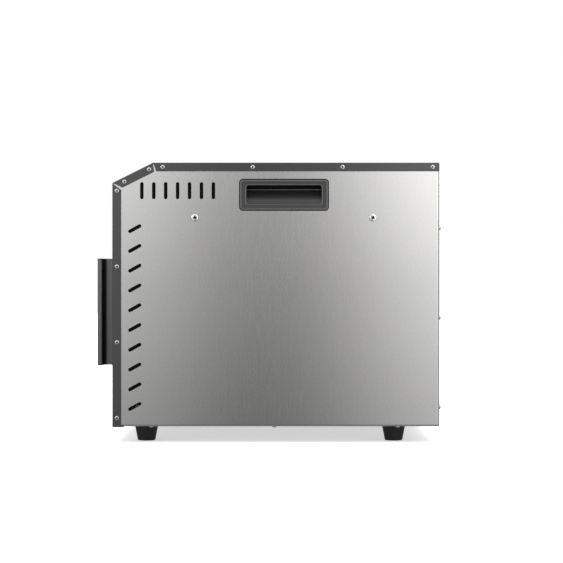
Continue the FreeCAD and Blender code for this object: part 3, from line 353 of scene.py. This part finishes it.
def lathe(bm, outline, place, steps=48):
    # turns (radius, height) points round place's z axis; a radius of 0 closes to one point
    rings = []
    for radius, height in outline:
        if radius == 0:
            rings.append([bm.verts.new(place @ Vector((0, 0, height)))])
            continue
        ring = []
        for n in range(steps):
            a = 2 * math.pi * n / steps
            ring.append(bm.verts.new(place @ Vector((radius * math.cos(a), radius * math.sin(a), height))))
        rings.append(ring)
    for low, high in zip(rings, rings[1:]):
        for n in range(steps):
            m = (n + 1) % steps
            if len(low) == 1:
                bm.faces.new((low[0], high[n], high[m]))
            elif len(high) == 1:
                bm.faces.new((low[n], low[m], high[0]))
            else:
                bm.faces.new((low[n], low[m], high[m], high[n]))


def tube(bm, points, radius, sides, closed=False):
    # a round bar along points, with flat ends unless it closes on itself
    count = len(points)
    rows = []
    for n, p in enumerate(points):
        if closed:
            along = points[(n + 1) % count] - points[n - 1]
        else:
            along = points[min(n + 1, count - 1)] - points[max(n - 1, 0)]
        along.normalize()
        side = along.cross(Vector((0, 0, 1)))
        if side.length < 1e-6:
            side = Vector((1, 0, 0))
        side.normalize()
        up = side.cross(along)
        row = []
        for k in range(sides):
            a = 2 * math.pi * (k + 0.5) / sides
            row.append(bm.verts.new(p + side * radius * math.cos(a) + up * radius * math.sin(a)))
        rows.append(row)
    pairs = list(zip(rows, rows[1:]))
    if closed:
        pairs.append((rows[-1], rows[0]))
    for first, after in pairs:
        for k in range(sides):
            m = (k + 1) % sides
            bm.faces.new((first[k], first[m], after[m], after[k]))
    if not closed:
        bm.faces.new(rows[0][::-1])
        bm.faces.new(rows[-1])


def facing(place, out):
    # a frame at place whose z axis points out
    return Matrix.Translation(place) @ Vector(out).to_track_quat("Z", "Y").to_matrix().to_4x4()


def smoothStep(value, low, high):
    t = min(1.0, max(0.0, (value - low) / (high - low)))
    return t * t * (3 - 2 * t)


# the casing's own planes, read off the frame
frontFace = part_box("front_top_cover")[0][1]
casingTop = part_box("front_top_cover")[1][2]
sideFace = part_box("side_panel_right")[1][0]
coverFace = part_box("front_top_cover")[1][0]
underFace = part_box("side_panel_right")[0][2]


def screwHead(bm, place, spec):
    # a domed head with a washer edge and a tapered cross recess; the deep faces of the recess take a second,
    # near-black finish as painted shade
    radius, high = spec["radius"], spec["high"]
    around, across, rim = 64, 14, 0.42
    turn = random.uniform(0, math.pi / 2)
    lower = ((radius * 0.98, 0.0), (radius, 0.06 * high), (radius, rim * high))
    rings = [[(r, z, False)] * around for r, z in lower]
    for k in range(1, across + 1):
        t = k / across
        r = radius * math.cos(t * math.pi / 2) ** 0.9
        dome = high * (rim + (1 - rim) * math.sin(t * math.pi / 2))
        ring = []
        for n in range(around):
            a = 2 * math.pi * n / around + turn
            x, y = abs(r * math.cos(a)), abs(r * math.sin(a))
            arm, side = max(x, y), min(x, y)
            taper = smoothStep(radius * 0.62 - arm, 0, radius * 0.3)
            wall = 1 - smoothStep(side, radius * 0.1, radius * 0.17)
            hub = 1 - smoothStep(r, radius * 0.24, radius * 0.36)
            depth = spec["recess"] * max(wall * taper, hub)
            ring.append((r, dome - depth, depth > 0.4 * spec["recess"]))
        rings.append(ring)
    rows = []
    for ring in rings[:-1]:
        row = []
        for n, (r, z, sunk) in enumerate(ring):
            a = 2 * math.pi * n / around
            row.append(bm.verts.new(place @ Vector((r * math.cos(a), r * math.sin(a), z))))
        rows.append(row)
    tip = bm.verts.new(place @ Vector((0, 0, high - spec["recess"])))
    for low, up, ring in zip(rows, rows[1:], rings[1:]):
        for n in range(around):
            m = (n + 1) % around
            bm.faces.new((low[n], low[m], up[m], up[n])).material_index = int(ring[n][2])
    for n in range(around):
        bm.faces.new((rows[-1][n], rows[-1][(n + 1) % around], tip)).material_index = 1
    bottom = bm.verts.new(place.translation)
    for n in range(around):
        bm.faces.new((rows[0][(n + 1) % around], rows[0][n], bottom))
    lathe(bm, [(spec["shank"], 0.0), (spec["shank"], -spec["reach"]), (0, -spec["reach"])], place, 20)


smallScrew = {"radius": 2.9 * mm, "high": 1.9 * mm, "recess": 1.5 * mm, "shank": 1.6 * mm, "reach": 5 * mm}
rearScrew = {"radius": 3.6 * mm, "high": 2.6 * mm, "recess": 1.6 * mm, "shank": 1.9 * mm, "reach": 6 * mm}
rackScrew = {"radius": 4.9 * mm, "high": 2.9 * mm, "recess": 2.0 * mm, "shank": 2.45 * mm, "reach": 20 * mm}


def looseParts(node):
    # centre and size of each separate solid in a node
    bm = bmesh.new()
    bm.from_mesh(nodes[node].data)
    bmesh.ops.remove_doubles(bm, verts=bm.verts, dist=1e-6)
    left, found = set(bm.verts), []
    while left:
        stack = [left.pop()]
        group = []
        while stack:
            v = stack.pop()
            group.append(v.co.copy())
            for e in v.link_edges:
                w = e.other_vert(v)
                if w in left:
                    left.remove(w)
                    stack.append(w)
        low = Vector([min(c[k] for c in group) for k in range(3)])
        high = Vector([max(c[k] for c in group) for k in range(3)])
        found.append((low, high))
    bm.free()
    return sorted(found, key=lambda pair: tuple(round(c, 4) for c in pair[0]))


def screwSet(name, node, axis, spec, finishName):
    # one new screw where each of the node's screws is; the head faces out along axis
    def build(bm):
        for low, high in looseParts(node):
            mid = (low + high) / 2
            size = high - low
            out = Vector((0, 0, 0))
            if axis == 0:
                out.x = 1 if mid.x > 0 else -1
            elif axis == 1:
                out.y = 1
            else:
                out.z = -1
            edge = high if out[axis] > 0 else low
            use = spec(size) if callable(spec) else spec
            seat = mid.copy()
            seat[axis] = edge[axis] - out[axis] * use["high"]
            screwHead(bm, facing(seat, out), use)
    piece = addPiece(name, meshOf(build, name), "casing", (finishName, "recessSoot"), 50)
    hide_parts(node)
    return piece


def rearPick(size):
    return smallScrew if size.x < 6.6 * mm else rearScrew


screwSet("coverScrewHeads", "cover_screws", 0, smallScrew, "screwNickel")
screwSet("rackScrewHeads", "rack_screws", 0, rackScrew, "screwPlate")
screwSet("rearScrewHeads", "rear_screws", 1, rearPick, "screwNickel")
screwSet("undersideScrewHeads", "underside_screws", 2, smallScrew, "screwNickel")
print("screws made")

# each foot is a rubber cone with a screw up a recess
foot = {"top": 15.9 * mm, "bottom": 12.2 * mm, "edge": 1.4 * mm, "recess": 5.0 * mm, "deep": 8.0 * mm,
        "hole": 1.65 * mm, "brim": 2.2 * mm, "softEdge": 0.4 * mm, "mouthEdge": 0.6 * mm,
        "high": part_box("feet")[1][2]}


def footOutline():
    high, edge, soft, brim = foot["high"], foot["edge"], foot["softEdge"], foot["high"] - foot["brim"]
    points = [(foot["hole"], high), (foot["top"] - soft, high), (foot["top"], high - soft),
              (foot["top"], brim)]
    steps = 12
    for n in range(1, steps):
        t = n / steps
        points.append((foot["top"] + (foot["bottom"] - foot["top"]) * t, brim - (brim - edge) * t))
    for n in range(6):
        a = math.pi / 2 * n / 5
        points.append((foot["bottom"] - edge + edge * math.cos(a), edge - edge * math.sin(a)))
    recess, deep, mouthEdge = foot["recess"], foot["deep"], foot["mouthEdge"]
    return points + [(recess + mouthEdge, 0), (recess, mouthEdge), (recess, deep), (foot["hole"], deep),
                     (foot["hole"], high)]


def buildFeet(bm):
    for low, high in looseParts("feet"):
        mid = (low + high) / 2
        lathe(bm, footOutline(), Matrix.Translation((mid.x, mid.y, low.z)), 72)


feetPiece = addPiece("rubberFeet", meshOf(buildFeet, "rubberFeet"), "casing", "footRubber", 35)
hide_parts("feet")
print("feet made")


# carry handles: a bezel with a rolled lip, a ramp up to a beaded ridge, and a finger channel behind it;
# near-black plastic in the channel is painted shade, and lighter plastic on the rims and bead is painted
# highlight
handle = {"mouth": (102 * mm, 26 * mm), "corner": 4.5 * mm, "mouthCorner": 3.2 * mm, "proud": 2.0 * mm,
          "roll": 0.9 * mm, "rollFlat": 2.6 * mm, "dish": 0.6 * mm, "deep": 20 * mm, "wall": 2.0 * mm,
          "wallCorner": 3 * mm, "hook": 4.5 * mm, "play": 0.3 * mm,
          "rampDeep": 17 * mm, "rampHigh": 20.2 * mm, "swell": (0.08, 0.42), "bead": 0.95 * mm,
          "underRidgeShade": 0.07,
          "gasket": 0.5 * mm, "gasketOut": 0.8 * mm, "gasketWide": 0.6 * mm}
# the lip round the mouth, from the dish inwards: share of the dish, and how far outside the mouth
lip = ((1.0, 1.5 * mm), (0.4, 1.0 * mm), (0.3, 0.6 * mm), (0.7, 0.15 * mm), (1.7, 0.0))
handleFinishes = ("handlePlastic", "cupInside", "gasketRubber", "rimPlastic")


def bezelLoop(bm, x, y0, y1, z0, z1, radius, steps=7):
    made = []
    for y, z, start in ((y1 - radius, z0 + radius, -90), (y1 - radius, z1 - radius, 0),
                        (y0 + radius, z1 - radius, 90), (y0 + radius, z0 + radius, 180)):
        for n in range(steps + 1):
            a = math.radians(start + 90 * n / steps)
            made.append(bm.verts.new((x, y + radius * math.cos(a), z + radius * math.sin(a))))
    return made


def handleMesh(bm):
    low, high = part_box("carry_handle_right")
    face = high.x - handle["proud"]
    y0, y1, z0, z1 = low.y, high.y, low.z, high.z
    midY, midZ = (y0 + y1) / 2, (z0 + z1) / 2
    w, h = handle["mouth"][0] / 2, handle["mouth"][1] / 2
    roll, corner, inner = handle["roll"], handle["corner"], handle["mouthCorner"]

    def outer(out, inset, radius):
        return bezelLoop(bm, face + out, y0 + inset, y1 - inset, z0 + inset, z1 - inset, radius)

    def mouth(out, grow, radius, up=0.0):
        return bezelLoop(bm, face + out, midY - w - grow, midY + w + grow, midZ - h - grow,
                         midZ + h + grow + up, radius)

    wall, hook, play = handle["wall"], handle["hook"], handle["play"]
    top, edge, wide, gasket = handle["proud"], handle["gasketOut"], handle["gasketWide"], handle["gasket"]
    loops = [mouth(-handle["deep"] - wall, wall, handle["wallCorner"], hook),
             mouth(0, wall, handle["wallCorner"], hook),
             outer(0, -wide, corner + wide), outer(gasket, -wide, corner + wide),
             outer(gasket, edge, corner - edge), outer(top - roll, edge, corner - edge)]
    # the gasket ring and the bezel's side face take the dark rubber; on the side face it is painted shade
    gasketAndShadeLoops = range(1, 6)
    rollLoops = range(6, 11)
    for n in range(1, 6):
        a = math.pi / 2 * n / 5
        inset = edge + roll * (1 - math.cos(a))
        loops.append(outer(top - roll + roll * math.sin(a), inset, corner - inset))
    loops.append(outer(top, handle["rollFlat"], handle["rollFlat"]))
    for share, grow in lip:
        loops.append(mouth(top - handle["dish"] * share, grow, inner + grow * 0.7))
    loops.append(mouth(-wall, 0, inner))
    loops.append(mouth(-wall, play, inner, hook - play))
    loops.append(mouth(-handle["deep"], play, inner, hook - play))
    last = len(loops) - 1
    lipLoops = (last - 6, last - 5)
    # the channel walls, back and closed end take the near-black plastic as painted shade; the rolled edge and
    # the mouth's lip take the lighter plastic as a painted highlight; the gasket ring and the bezel's side
    # take the dark rubber, partly painted shade
    for k, (first, after) in enumerate(zip(loops, loops[1:])):
        for n in range(len(first)):
            m = (n + 1) % len(first)
            made = bm.faces.new((first[n], first[m], after[m], after[n]))
            if k in gasketAndShadeLoops:
                made.material_index = handleFinishes.index("gasketRubber")
            elif k in rollLoops or k in lipLoops:
                made.material_index = handleFinishes.index("rimPlastic")
            elif k >= last - 2:
                made.material_index = handleFinishes.index("cupInside")
    bm.faces.new(loops[0][::-1])
    bm.faces.new(loops[-1]).material_index = handleFinishes.index("cupInside")

    # the ramp leaves the mouth's lower edge upright and leans back to the ridge
    foot = midZ - h
    start, end = Vector((0, 0)), Vector((-handle["rampDeep"], handle["rampHigh"]))
    swell = Vector((end.x * handle["swell"][0], end.y * handle["swell"][1]))
    steps = 20
    curve = []
    for n in range(steps + 1):
        t = n / steps
        p = start * (1 - t) ** 2 + swell * 2 * t * (1 - t) + end * t * t
        curve.append((face + p.x, foot + p.y))
    back = face - handle["deep"] - play
    curve += [(back, foot + end.y), (back, foot - play), (face, foot - play)]
    near = [bm.verts.new((x, midY - w - play * 1.5, z)) for x, z in curve]
    far = [bm.verts.new((x, midY + w + play * 1.5, z)) for x, z in curve]
    for n in range(len(curve)):
        m = (n + 1) % len(curve)
        made = bm.faces.new((near[n], near[m], far[m], far[n]))
        # the steps just under the ridge take the near-black plastic, a painted shade line
        if steps * (1 - handle["underRidgeShade"]) <= n < steps:
            made.material_index = handleFinishes.index("cupInside")
    bm.faces.new(near[::-1])
    bm.faces.new(far)
    ridge = (face + end.x + play * 2, foot + end.y + play * 2)
    before = set(bm.faces)
    tube(bm, [Vector((ridge[0], midY - w - play, ridge[1])), Vector((ridge[0], midY + w + play, ridge[1]))],
         handle["bead"], 12)
    # the bead takes the lighter plastic, a painted highlight
    for made in set(bm.faces) - before:
        made.material_index = handleFinishes.index("rimPlastic")


handleShape = meshOf(handleMesh, "carryHandleRight")
leftShape = handleShape.copy()
leftShape.transform(Matrix.Scale(-1, 4, (1, 0, 0)))
leftShape.flip_normals()
for name, shape, node in (("carryHandleRight", handleShape, "carry_handle_right"),
                          ("carryHandleLeft", leftShape, "carry_handle_left")):
    piece = addPiece(name, shape, "casing", handleFinishes, 30)
    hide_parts(node)
print("carry handles made")


# near-black pads just behind the slots, painted shade that also blocks the view through the casing: span from
# the front, heights below the top
slotShadePads = {"gap": 1.3 * mm, "thick": 3 * mm,
            "upper": {"front": 33 * mm, "back": 145 * mm, "drop": 22 * mm, "low": 54 * mm},
            "front": {"front": 19 * mm, "back": 42.5 * mm, "drop": 60 * mm, "low": 326 * mm}}


def padBoxes(bm, side):
    low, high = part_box("side_panel_right")
    near = high.x - slotShadePads["gap"]
    far = near - slotShadePads["thick"]
    for spec in (slotShadePads["upper"], slotShadePads["front"]):
        for v in bmesh.ops.create_cube(bm, size=1.0)["verts"]:
            v.co.x = side * (near if v.co.x > 0 else far)
            v.co.y = low.y + (spec["back"] if v.co.y > 0 else spec["front"])
            v.co.z = high.z - (spec["drop"] if v.co.z > 0 else spec["low"])


for name, side in (("dustPadsRight", 1), ("dustPadsLeft", -1)):
    addPiece(name, meshOf(lambda bm: padBoxes(bm, side), name), "casing", "filterFoam")
print("slot shade pads made")


# trays: a bent rim with welded mesh, long wires over cross wires
trayWire = {"rim": 2.0 * mm, "mesh": 0.75 * mm, "pitch": 9.0 * mm, "bar": 1.2 * mm, "corner": 12 * mm,
            "sides": 8, "bars": 4, "barLevel": -0.4 * mm, "crossLevel": 0.1 * mm, "longLevel": 1.15 * mm}


def roundedLoop(x0, x1, y0, y1, z, radius, steps=8):
    points = []
    corners = [(x1 - radius, y0 + radius, -90), (x1 - radius, y1 - radius, 0),
               (x0 + radius, y1 - radius, 90), (x0 + radius, y0 + radius, 180)]
    for x, y, start in corners:
        for n in range(steps + 1):
            a = math.radians(start + 90 * n / steps)
            points.append(Vector((x + radius * math.cos(a), y + radius * math.sin(a), z)))
    return points


def trayMesh():
    low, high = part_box("tray_01")
    rim, thin = trayWire["rim"], trayWire["mesh"]
    x, y0, y1 = high.x - rim, low.y + rim, high.y - rim
    z = low.z + rim

    def build(bm):
        tube(bm, roundedLoop(-x, x, y0, y1, z, trayWire["corner"]), rim, 12, closed=True)
        def wire(start, end, level, radius):
            tube(bm, [Vector((*start, z + level)), Vector((*end, z + level))], radius, trayWire["sides"])

        bars = trayWire["bars"]
        for n in range(bars):
            y = y0 + (y1 - y0) * (n + 1) / (bars + 1)
            wire((-x, y), (x, y), trayWire["barLevel"], trayWire["bar"])
        across = int(2 * x / trayWire["pitch"])
        for n in range(1, across):
            at = -x + 2 * x * n / across
            wire((at, y0), (at, y1), trayWire["longLevel"], thin)
        deep = int((y1 - y0) / trayWire["pitch"])
        for n in range(1, deep):
            at = y0 + (y1 - y0) * n / deep
            wire((-x, at), (x, at), trayWire["crossLevel"], thin)
    return meshOf(build, "meshTray")


trayShape = trayMesh()
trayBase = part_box("tray_01")[0][2]
for n in range(10):
    node = "tray_%02d" % (n + 1)
    shape = trayShape.copy()
    shape.transform(Matrix.Translation((0, 0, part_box(node)[0][2] - trayBase)))
    piece = addPiece("meshTray%02d" % (n + 1), shape, node + "_body", "wireSteel", 50)
    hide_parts(node)
print("trays made")

# finishes on the parts that keep their shape
finishOf = {
    "brushedSteel": ["side_panel_right", "side_panel_left"],
    "anthraciteCoat": ["front_top_cover", "door_frame"],
    "zincSheet": ["rear_panel", "bottom_panel", "front_frame", "motor_plate", "hinge_pins"],
    "chamberShell": ["chamber_wall_right", "chamber_wall_left", "chamber_ceiling", "chamber_floor"],
    "chamberSteel": ["tray_rails_right", "tray_rails_left", "air_baffle", "door_inner_frame", "fan_shaft",
                     "hinge_blocks", "rack_spacers"],
    "wireSteel": ["fan_guard", "temperature_probe"],
    "castZinc": ["fan_motor"],
    "elementSheath": ["heater_element"],
    "wheelSheet": ["fan_impeller"],
    "inletPlastic": ["power_inlet"],
    "partPlastic": ["thermal_cutout", "door_magnet"],
    "nickelPin": ["inlet_pins"],
    "fasciaGloss": ["control_fascia"],
    "lensGloss": ["display_lens"],
    "keyPlastic": ["key_power", "key_mode", "key_minus", "key_plus", "key_start"],
    "boardMask": ["control_board", "power_board"],
    "wireJacket": ["wiring"],
    "doorGlass": ["door_glass"],
    "sealSilicone": ["door_seal"],
    "anodisedGraphite": ["door_pull"],
    "screwPlate": ["pull_screws"],
}


def smoothFolds(piece):
    # curved faces shade smoothly, and folds keep their edge
    for face in piece.data.polygons:
        face.use_smooth = True
    piece.data.set_sharp_from_angle(angle=math.radians(35))


for finishName, names in finishOf.items():
    for node in names:
        piece = nodes[node]
        piece.data.materials.clear()
        piece.data.materials.append(finishes[finishName])
        smoothFolds(piece)
print("finishes given to", sum(len(v) for v in finishOf.values()), "parts")


# print on the control panel, drawn in the slope's own plane
slope = {"run": 55 * mm, "drop": 27.5 * mm}
slopeAngle = math.atan2(slope["drop"], slope["run"])
slopeFrame = (Matrix.Translation((0, frontFace + slope["run"] / 2, casingTop - slope["drop"] / 2))
              @ Matrix.Rotation(slopeAngle, 4, "X"))
ink = {"lift": 0.04 * mm, "line": 0.7 * mm, "thin": 0.45 * mm, "border": 0.35 * mm, "dot": 0.35 * mm}


def stroke(bm, points, width, closed=False, lift=ink["lift"]):
    # a flat ribbon along points
    pts = [Vector((x, y, 0)) for x, y in points]
    count = len(pts)
    left, right = [], []
    for n, p in enumerate(pts):
        before = pts[n - 1] if closed or n else p
        after = pts[(n + 1) % count] if closed or n < count - 1 else p
        along = (after - before).normalized()
        side = Vector((-along.y, along.x, 0)) * width / 2
        left.append(bm.verts.new(slopeFrame @ (p + side + Vector((0, 0, lift)))))
        right.append(bm.verts.new(slopeFrame @ (p - side + Vector((0, 0, lift)))))
    for n in range(count if closed else count - 1):
        m = (n + 1) % count
        bm.faces.new((left[n], right[n], right[m], left[m]))


def arcPoints(x, y, radius, start, stop, steps=24):
    return [(x + radius * math.cos(math.radians(start + (stop - start) * n / steps)),
             y + radius * math.sin(math.radians(start + (stop - start) * n / steps)))
            for n in range(steps + 1)]


keyAt = {"power": -100 * mm, "mode": -66 * mm, "minus": 60 * mm, "plus": 84 * mm, "start": 108 * mm}
keyLift = ink["lift"] - 0.1 * mm   # the keys stand a little below the fascia


def powerSign(bm, x):
    stroke(bm, arcPoints(x, 0, 2.6 * mm, 120, 420), ink["line"], lift=keyLift)
    stroke(bm, [(x, 0.4 * mm), (x, 3.4 * mm)], ink["line"], lift=keyLift)


def modeSign(bm, x):
    # a clock face
    stroke(bm, arcPoints(x, 0, 2.8 * mm, 0, 360), ink["line"] * 0.8, lift=keyLift)
    stroke(bm, [(x, 1.9 * mm), (x, 0), (x + 1.4 * mm, -0.8 * mm)], ink["line"] * 0.8, lift=keyLift)


def minusSign(bm, x):
    stroke(bm, [(x - 2.4 * mm, 0), (x + 2.4 * mm, 0)], ink["line"] * 1.2, lift=keyLift)


def plusSign(bm, x):
    minusSign(bm, x)
    stroke(bm, [(x, -2.4 * mm), (x, -0.42 * mm)], ink["line"] * 1.2, lift=keyLift)
    stroke(bm, [(x, 0.42 * mm), (x, 2.4 * mm)], ink["line"] * 1.2, lift=keyLift)


def startSign(bm, x):
    stroke(bm, [(x - 1.8 * mm, -2.2 * mm), (x - 1.8 * mm, 2.2 * mm), (x + 2.2 * mm, 0)], ink["line"] * 0.8,
           closed=True, lift=keyLift)


signOf = {"power": powerSign, "mode": modeSign, "minus": minusSign, "plus": plusSign, "start": startSign}
for name, sign in signOf.items():
    shape = meshOf(lambda bm: sign(bm, keyAt[name]), name + "Sign")
    addPiece(name + "Sign", shape, "key_" + name + "_cap", "printRed" if name == "power" else "printWhite",
             0)


panel = {"border": (121 * mm, 17.6 * mm), "corner": 3 * mm, "dotsUp": 10.5 * mm, "glass": (-38 * mm, -3 * mm),
         "bulb": 1.5 * mm, "tube": 0.65 * mm, "tubeFoot": -1.6 * mm, "tubeTop": 3.6 * mm, "clock": 38 * mm,
         "clockFace": 2.8 * mm, "hands": (1.9 * mm, 1.3 * mm, 0.8 * mm)}


def dot(bm, x, y):
    stroke(bm, arcPoints(x, y, ink["dot"], 0, 330, 11), 2 * ink["dot"], closed=True)


def panelPrint(bm):
    # a thin border line, dots over the keys, and a thermometer and a clock beside the display
    (w, h), r = panel["border"], panel["corner"]
    outline = []
    for x, y, start in ((w - r, -h + r, -90), (w - r, h - r, 0), (-w + r, h - r, 90), (-w + r, -h + r, 180)):
        outline += arcPoints(x, y, r, start, start + 90, 8)
    stroke(bm, outline, ink["border"], closed=True)
    for x in keyAt.values():
        dot(bm, x, panel["dotsUp"])
    (x, y), half, foot, top = panel["glass"], panel["tube"], panel["tubeFoot"], panel["tubeTop"]
    stroke(bm, arcPoints(x, y, panel["bulb"], 115, 425), ink["thin"])
    for side in (-half, half):
        stroke(bm, [(x + side, foot), (x + side, top)], ink["thin"])
    stroke(bm, arcPoints(x, top, half, 0, 180, 10), ink["thin"])
    x, (long, right, up) = panel["clock"], panel["hands"]
    stroke(bm, arcPoints(x, 0, panel["clockFace"], 0, 360), ink["thin"])
    stroke(bm, [(x, long), (x, 0), (x + right, up)], ink["thin"])


addPiece("panelPrint", meshOf(panelPrint, "panelPrint"), "casing", "printWhite", 0)

digit = {"wide": 5.2 * mm, "high": 10 * mm, "bar": 1.1 * mm, "gap": 0.7 * mm, "lean": 0.12, "pitch": 7.8 * mm,
         "heat": ("65", -27 * mm), "time": ("0800", -3 * mm), "colonRoom": 2.4 * mm, "colon": 2 * mm}
barsOf = {"0": "abcdef", "5": "afgcd", "6": "afgedc", "8": "abcdefg"}


def displayBars(bm):
    # temperature and time in seven-bar figures
    w, h = digit["wide"], digit["high"]
    line = {"a": ((0, h), (w, h)), "b": ((w, h), (w, h / 2)), "c": ((w, h / 2), (w, 0)),
            "d": ((0, 0), (w, 0)), "e": ((0, h / 2), (0, 0)), "f": ((0, h), (0, h / 2)),
            "g": ((0, h / 2), (w, h / 2))}
    for text, start in (digit["heat"], digit["time"]):
        for n, figure in enumerate(text):
            left = start + n * digit["pitch"] + (digit["colonRoom"] if n > 1 else 0)
            for bar in barsOf[figure]:
                (x0, y0), (x1, y1) = line[bar]
                size = math.hypot(x1 - x0, y1 - y0)
                dx, dy = (x1 - x0) / size * digit["gap"], (y1 - y0) / size * digit["gap"]
                ends = [(x0 + dx, y0 + dy), (x1 - dx, y1 - dy)]
                stroke(bm, [(left + x + y * digit["lean"], y - h / 2) for x, y in ends], digit["bar"])
    for y in (-digit["colon"], digit["colon"]):
        dot(bm, digit["time"][1] + 2 * digit["pitch"] - 0.1 * mm, y)


addPiece("displayFigures", meshOf(displayBars, "displayFigures"), "casing", "digitGlow", 0)
print("control panel printed")

ground = {"across": 9.0, "glow": 0.5, "paper": (0.885, 0.885, 0.885), "white": (0.915, 0.915, 0.915)}


def paleFloor(place):
    speck = place.noise(3.0, 3.0)
    return {"Base Color": speck.tint(ground["paper"], ground["white"]), "Roughness": 0.85 + speck * 0.1,
            "Emission Color": speck.tint((0.97, 0.97, 0.97), (1, 1, 1))}


def floorDisc(bm):
    bmesh.ops.create_circle(bm, cap_ends=True, segments=96, radius=ground["across"])


finish("floorPaper", {"Specular IOR Level": 0.1, "Emission Strength": ground["glow"]}, paleFloor)
floorMesh = meshOf(floorDisc, "floor")
floorMesh.materials.append(finishes["floorPaper"])
floor = bpy.data.objects.new("floor", floorMesh)
bpy.context.scene.collection.objects.link(floor)
floor.visible_glossy = False

room = {"lit": 0.6, "mirrored": 0.4, "seen": 1.0, "sun": 1.75, "sunSpread": 75}
world = bpy.data.worlds.new("studio")
world.use_nodes = True
tree = world.node_tree
tree.nodes.clear()
ray = tree.nodes.new("ShaderNodeLightPath")
target = tree.nodes.new("ShaderNodeOutputWorld")


def skyOf(strength):
    made = tree.nodes.new("ShaderNodeBackground")
    made.inputs["Color"].default_value = (1, 1, 1, 1)
    made.inputs["Strength"].default_value = strength
    return made.outputs[0]


# the room is brighter to the camera than to the object, and dimmest in reflections
sky = skyOf(room["lit"])
for rays, strength in (("Is Glossy Ray", room["mirrored"]), ("Is Camera Ray", room["seen"])):
    both = tree.nodes.new("ShaderNodeMixShader")
    tree.links.new(ray.outputs[rays], both.inputs[0])
    tree.links.new(sky, both.inputs[1])
    tree.links.new(skyOf(strength), both.inputs[2])
    sky = both.outputs[0]
tree.links.new(sky, target.inputs["Surface"])
bpy.context.scene.world = world


def lampAt(name, kind, at, aim, energy):
    lamp = bpy.data.lights.new(name, kind)
    lamp.energy = energy
    made = bpy.data.objects.new(name, lamp)
    made.location = at
    made.rotation_euler = (Vector(aim) - Vector(at)).to_track_quat("-Z", "Y").to_euler()
    made.visible_camera = False
    bpy.context.scene.collection.objects.link(made)
    return lamp


overhead = lampAt("overhead", "SUN", (0, 0, 3), (0, 0, 0), room["sun"])
overhead.angle = math.radians(room["sunSpread"])
boxes = {"size": 1.2, "aim": (0, 0, 0.2), "frontBox": ((0.5, -2.0, 1.0), 12),
         "backBox": ((-0.4, 2.2, 1.1), 10), "leftBox": ((-1.8, 0.3, 1.0), 10)}
for name in ("frontBox", "backBox", "leftBox"):
    at, watts = boxes[name]
    box = lampAt(name, "AREA", at, boxes["aim"], watts)
    box.shape = "SQUARE"
    box.size = boxes["size"]

# a graded sheet beside the casing, which only reflections see: bright at the back and the front
glowSheet = {"away": 0.45, "half": 1.0, "low": -0.6, "high": 1.2, "peak": 2.6,
             "alongStops": ((-0.9, 1.3), (-0.30, 1.45), (-0.2265, 1.34), (-0.17, 1.09), (-0.09, 0.546),
                            (-0.018, 0.36), (0.03, 0.43), (0.1, 0.81), (0.18, 1.32), (0.26, 1.94),
                            (0.4, 2.5), (0.9, 2.0)),
             "upStops": ((-0.3, 0.47), (-0.1, 0.52), (0.0, 0.6), (0.06, 0.69), (0.11, 0.76), (0.16, 0.84),
                         (0.22, 0.9), (0.28, 1.08), (0.33, 1.17), (0.42, 1.4), (0.8, 1.4))}


def rampOf(wire, stops, low, high):
    # brightness at places along the wire, in metres
    scaled = [((at - low) / (high - low), shade / glowSheet["peak"]) for at, shade in stops]
    return wire.node("ValToRGB", {"stops": scaled}, {0: wire.between(low, high)})


def sheetGlow(place):
    x, y, z = place.axes()
    along = rampOf(y, glowSheet["alongStops"], -glowSheet["half"], glowSheet["half"])
    up = rampOf(z, glowSheet["upStops"], glowSheet["low"], glowSheet["high"])
    return {"Emission Color": along * up * glowSheet["peak"]}


finish("gradedLight", {"Base Color": (0, 0, 0), "Specular IOR Level": 0.0,
                       "Emission Strength": glowSheet["peak"]}, sheetGlow)


def sheetMesh(bm, side):
    x, half = side * (sideFace + glowSheet["away"]), glowSheet["half"]
    corners = [(x, -half, glowSheet["low"]), (x, -half, glowSheet["high"]),
               (x, half, glowSheet["high"]), (x, half, glowSheet["low"])]
    bm.faces.new([bm.verts.new(corner) for corner in corners])


for name, side in (("rightReflection", 1), ("leftReflection", -1)):
    shape = meshOf(lambda bm: sheetMesh(bm, side), name)
    shape.materials.append(finishes["gradedLight"])
    sheet = bpy.data.objects.new(name, shape)
    bpy.context.scene.collection.objects.link(sheet)
    for ray in ("camera", "diffuse", "transmission", "volume_scatter", "shadow"):
        setattr(sheet, "visible_" + ray, False)

shot = {"away": 2.2, "behindFront": 0.2286, "overUnderside": 0.1958, "seenWidth": 0.760, "chip": 36.0}
camera = bpy.data.cameras.new("camera")
camera.sensor_width = shot["chip"]
camera.lens = shot["chip"] * shot["away"] / shot["seenWidth"]
camera.clip_end = 60
cameraObject = bpy.data.objects.new("camera", camera)
cameraObject.location = (coverFace + shot["away"], frontFace + shot["behindFront"],
                         underFace + shot["overUnderside"])
cameraObject.rotation_euler = (math.pi / 2, 0, math.pi / 2)
bpy.context.scene.collection.objects.link(cameraObject)
bpy.context.scene.camera = cameraObject
bpy.context.scene.view_settings.view_transform = "Standard"
print("stage set")
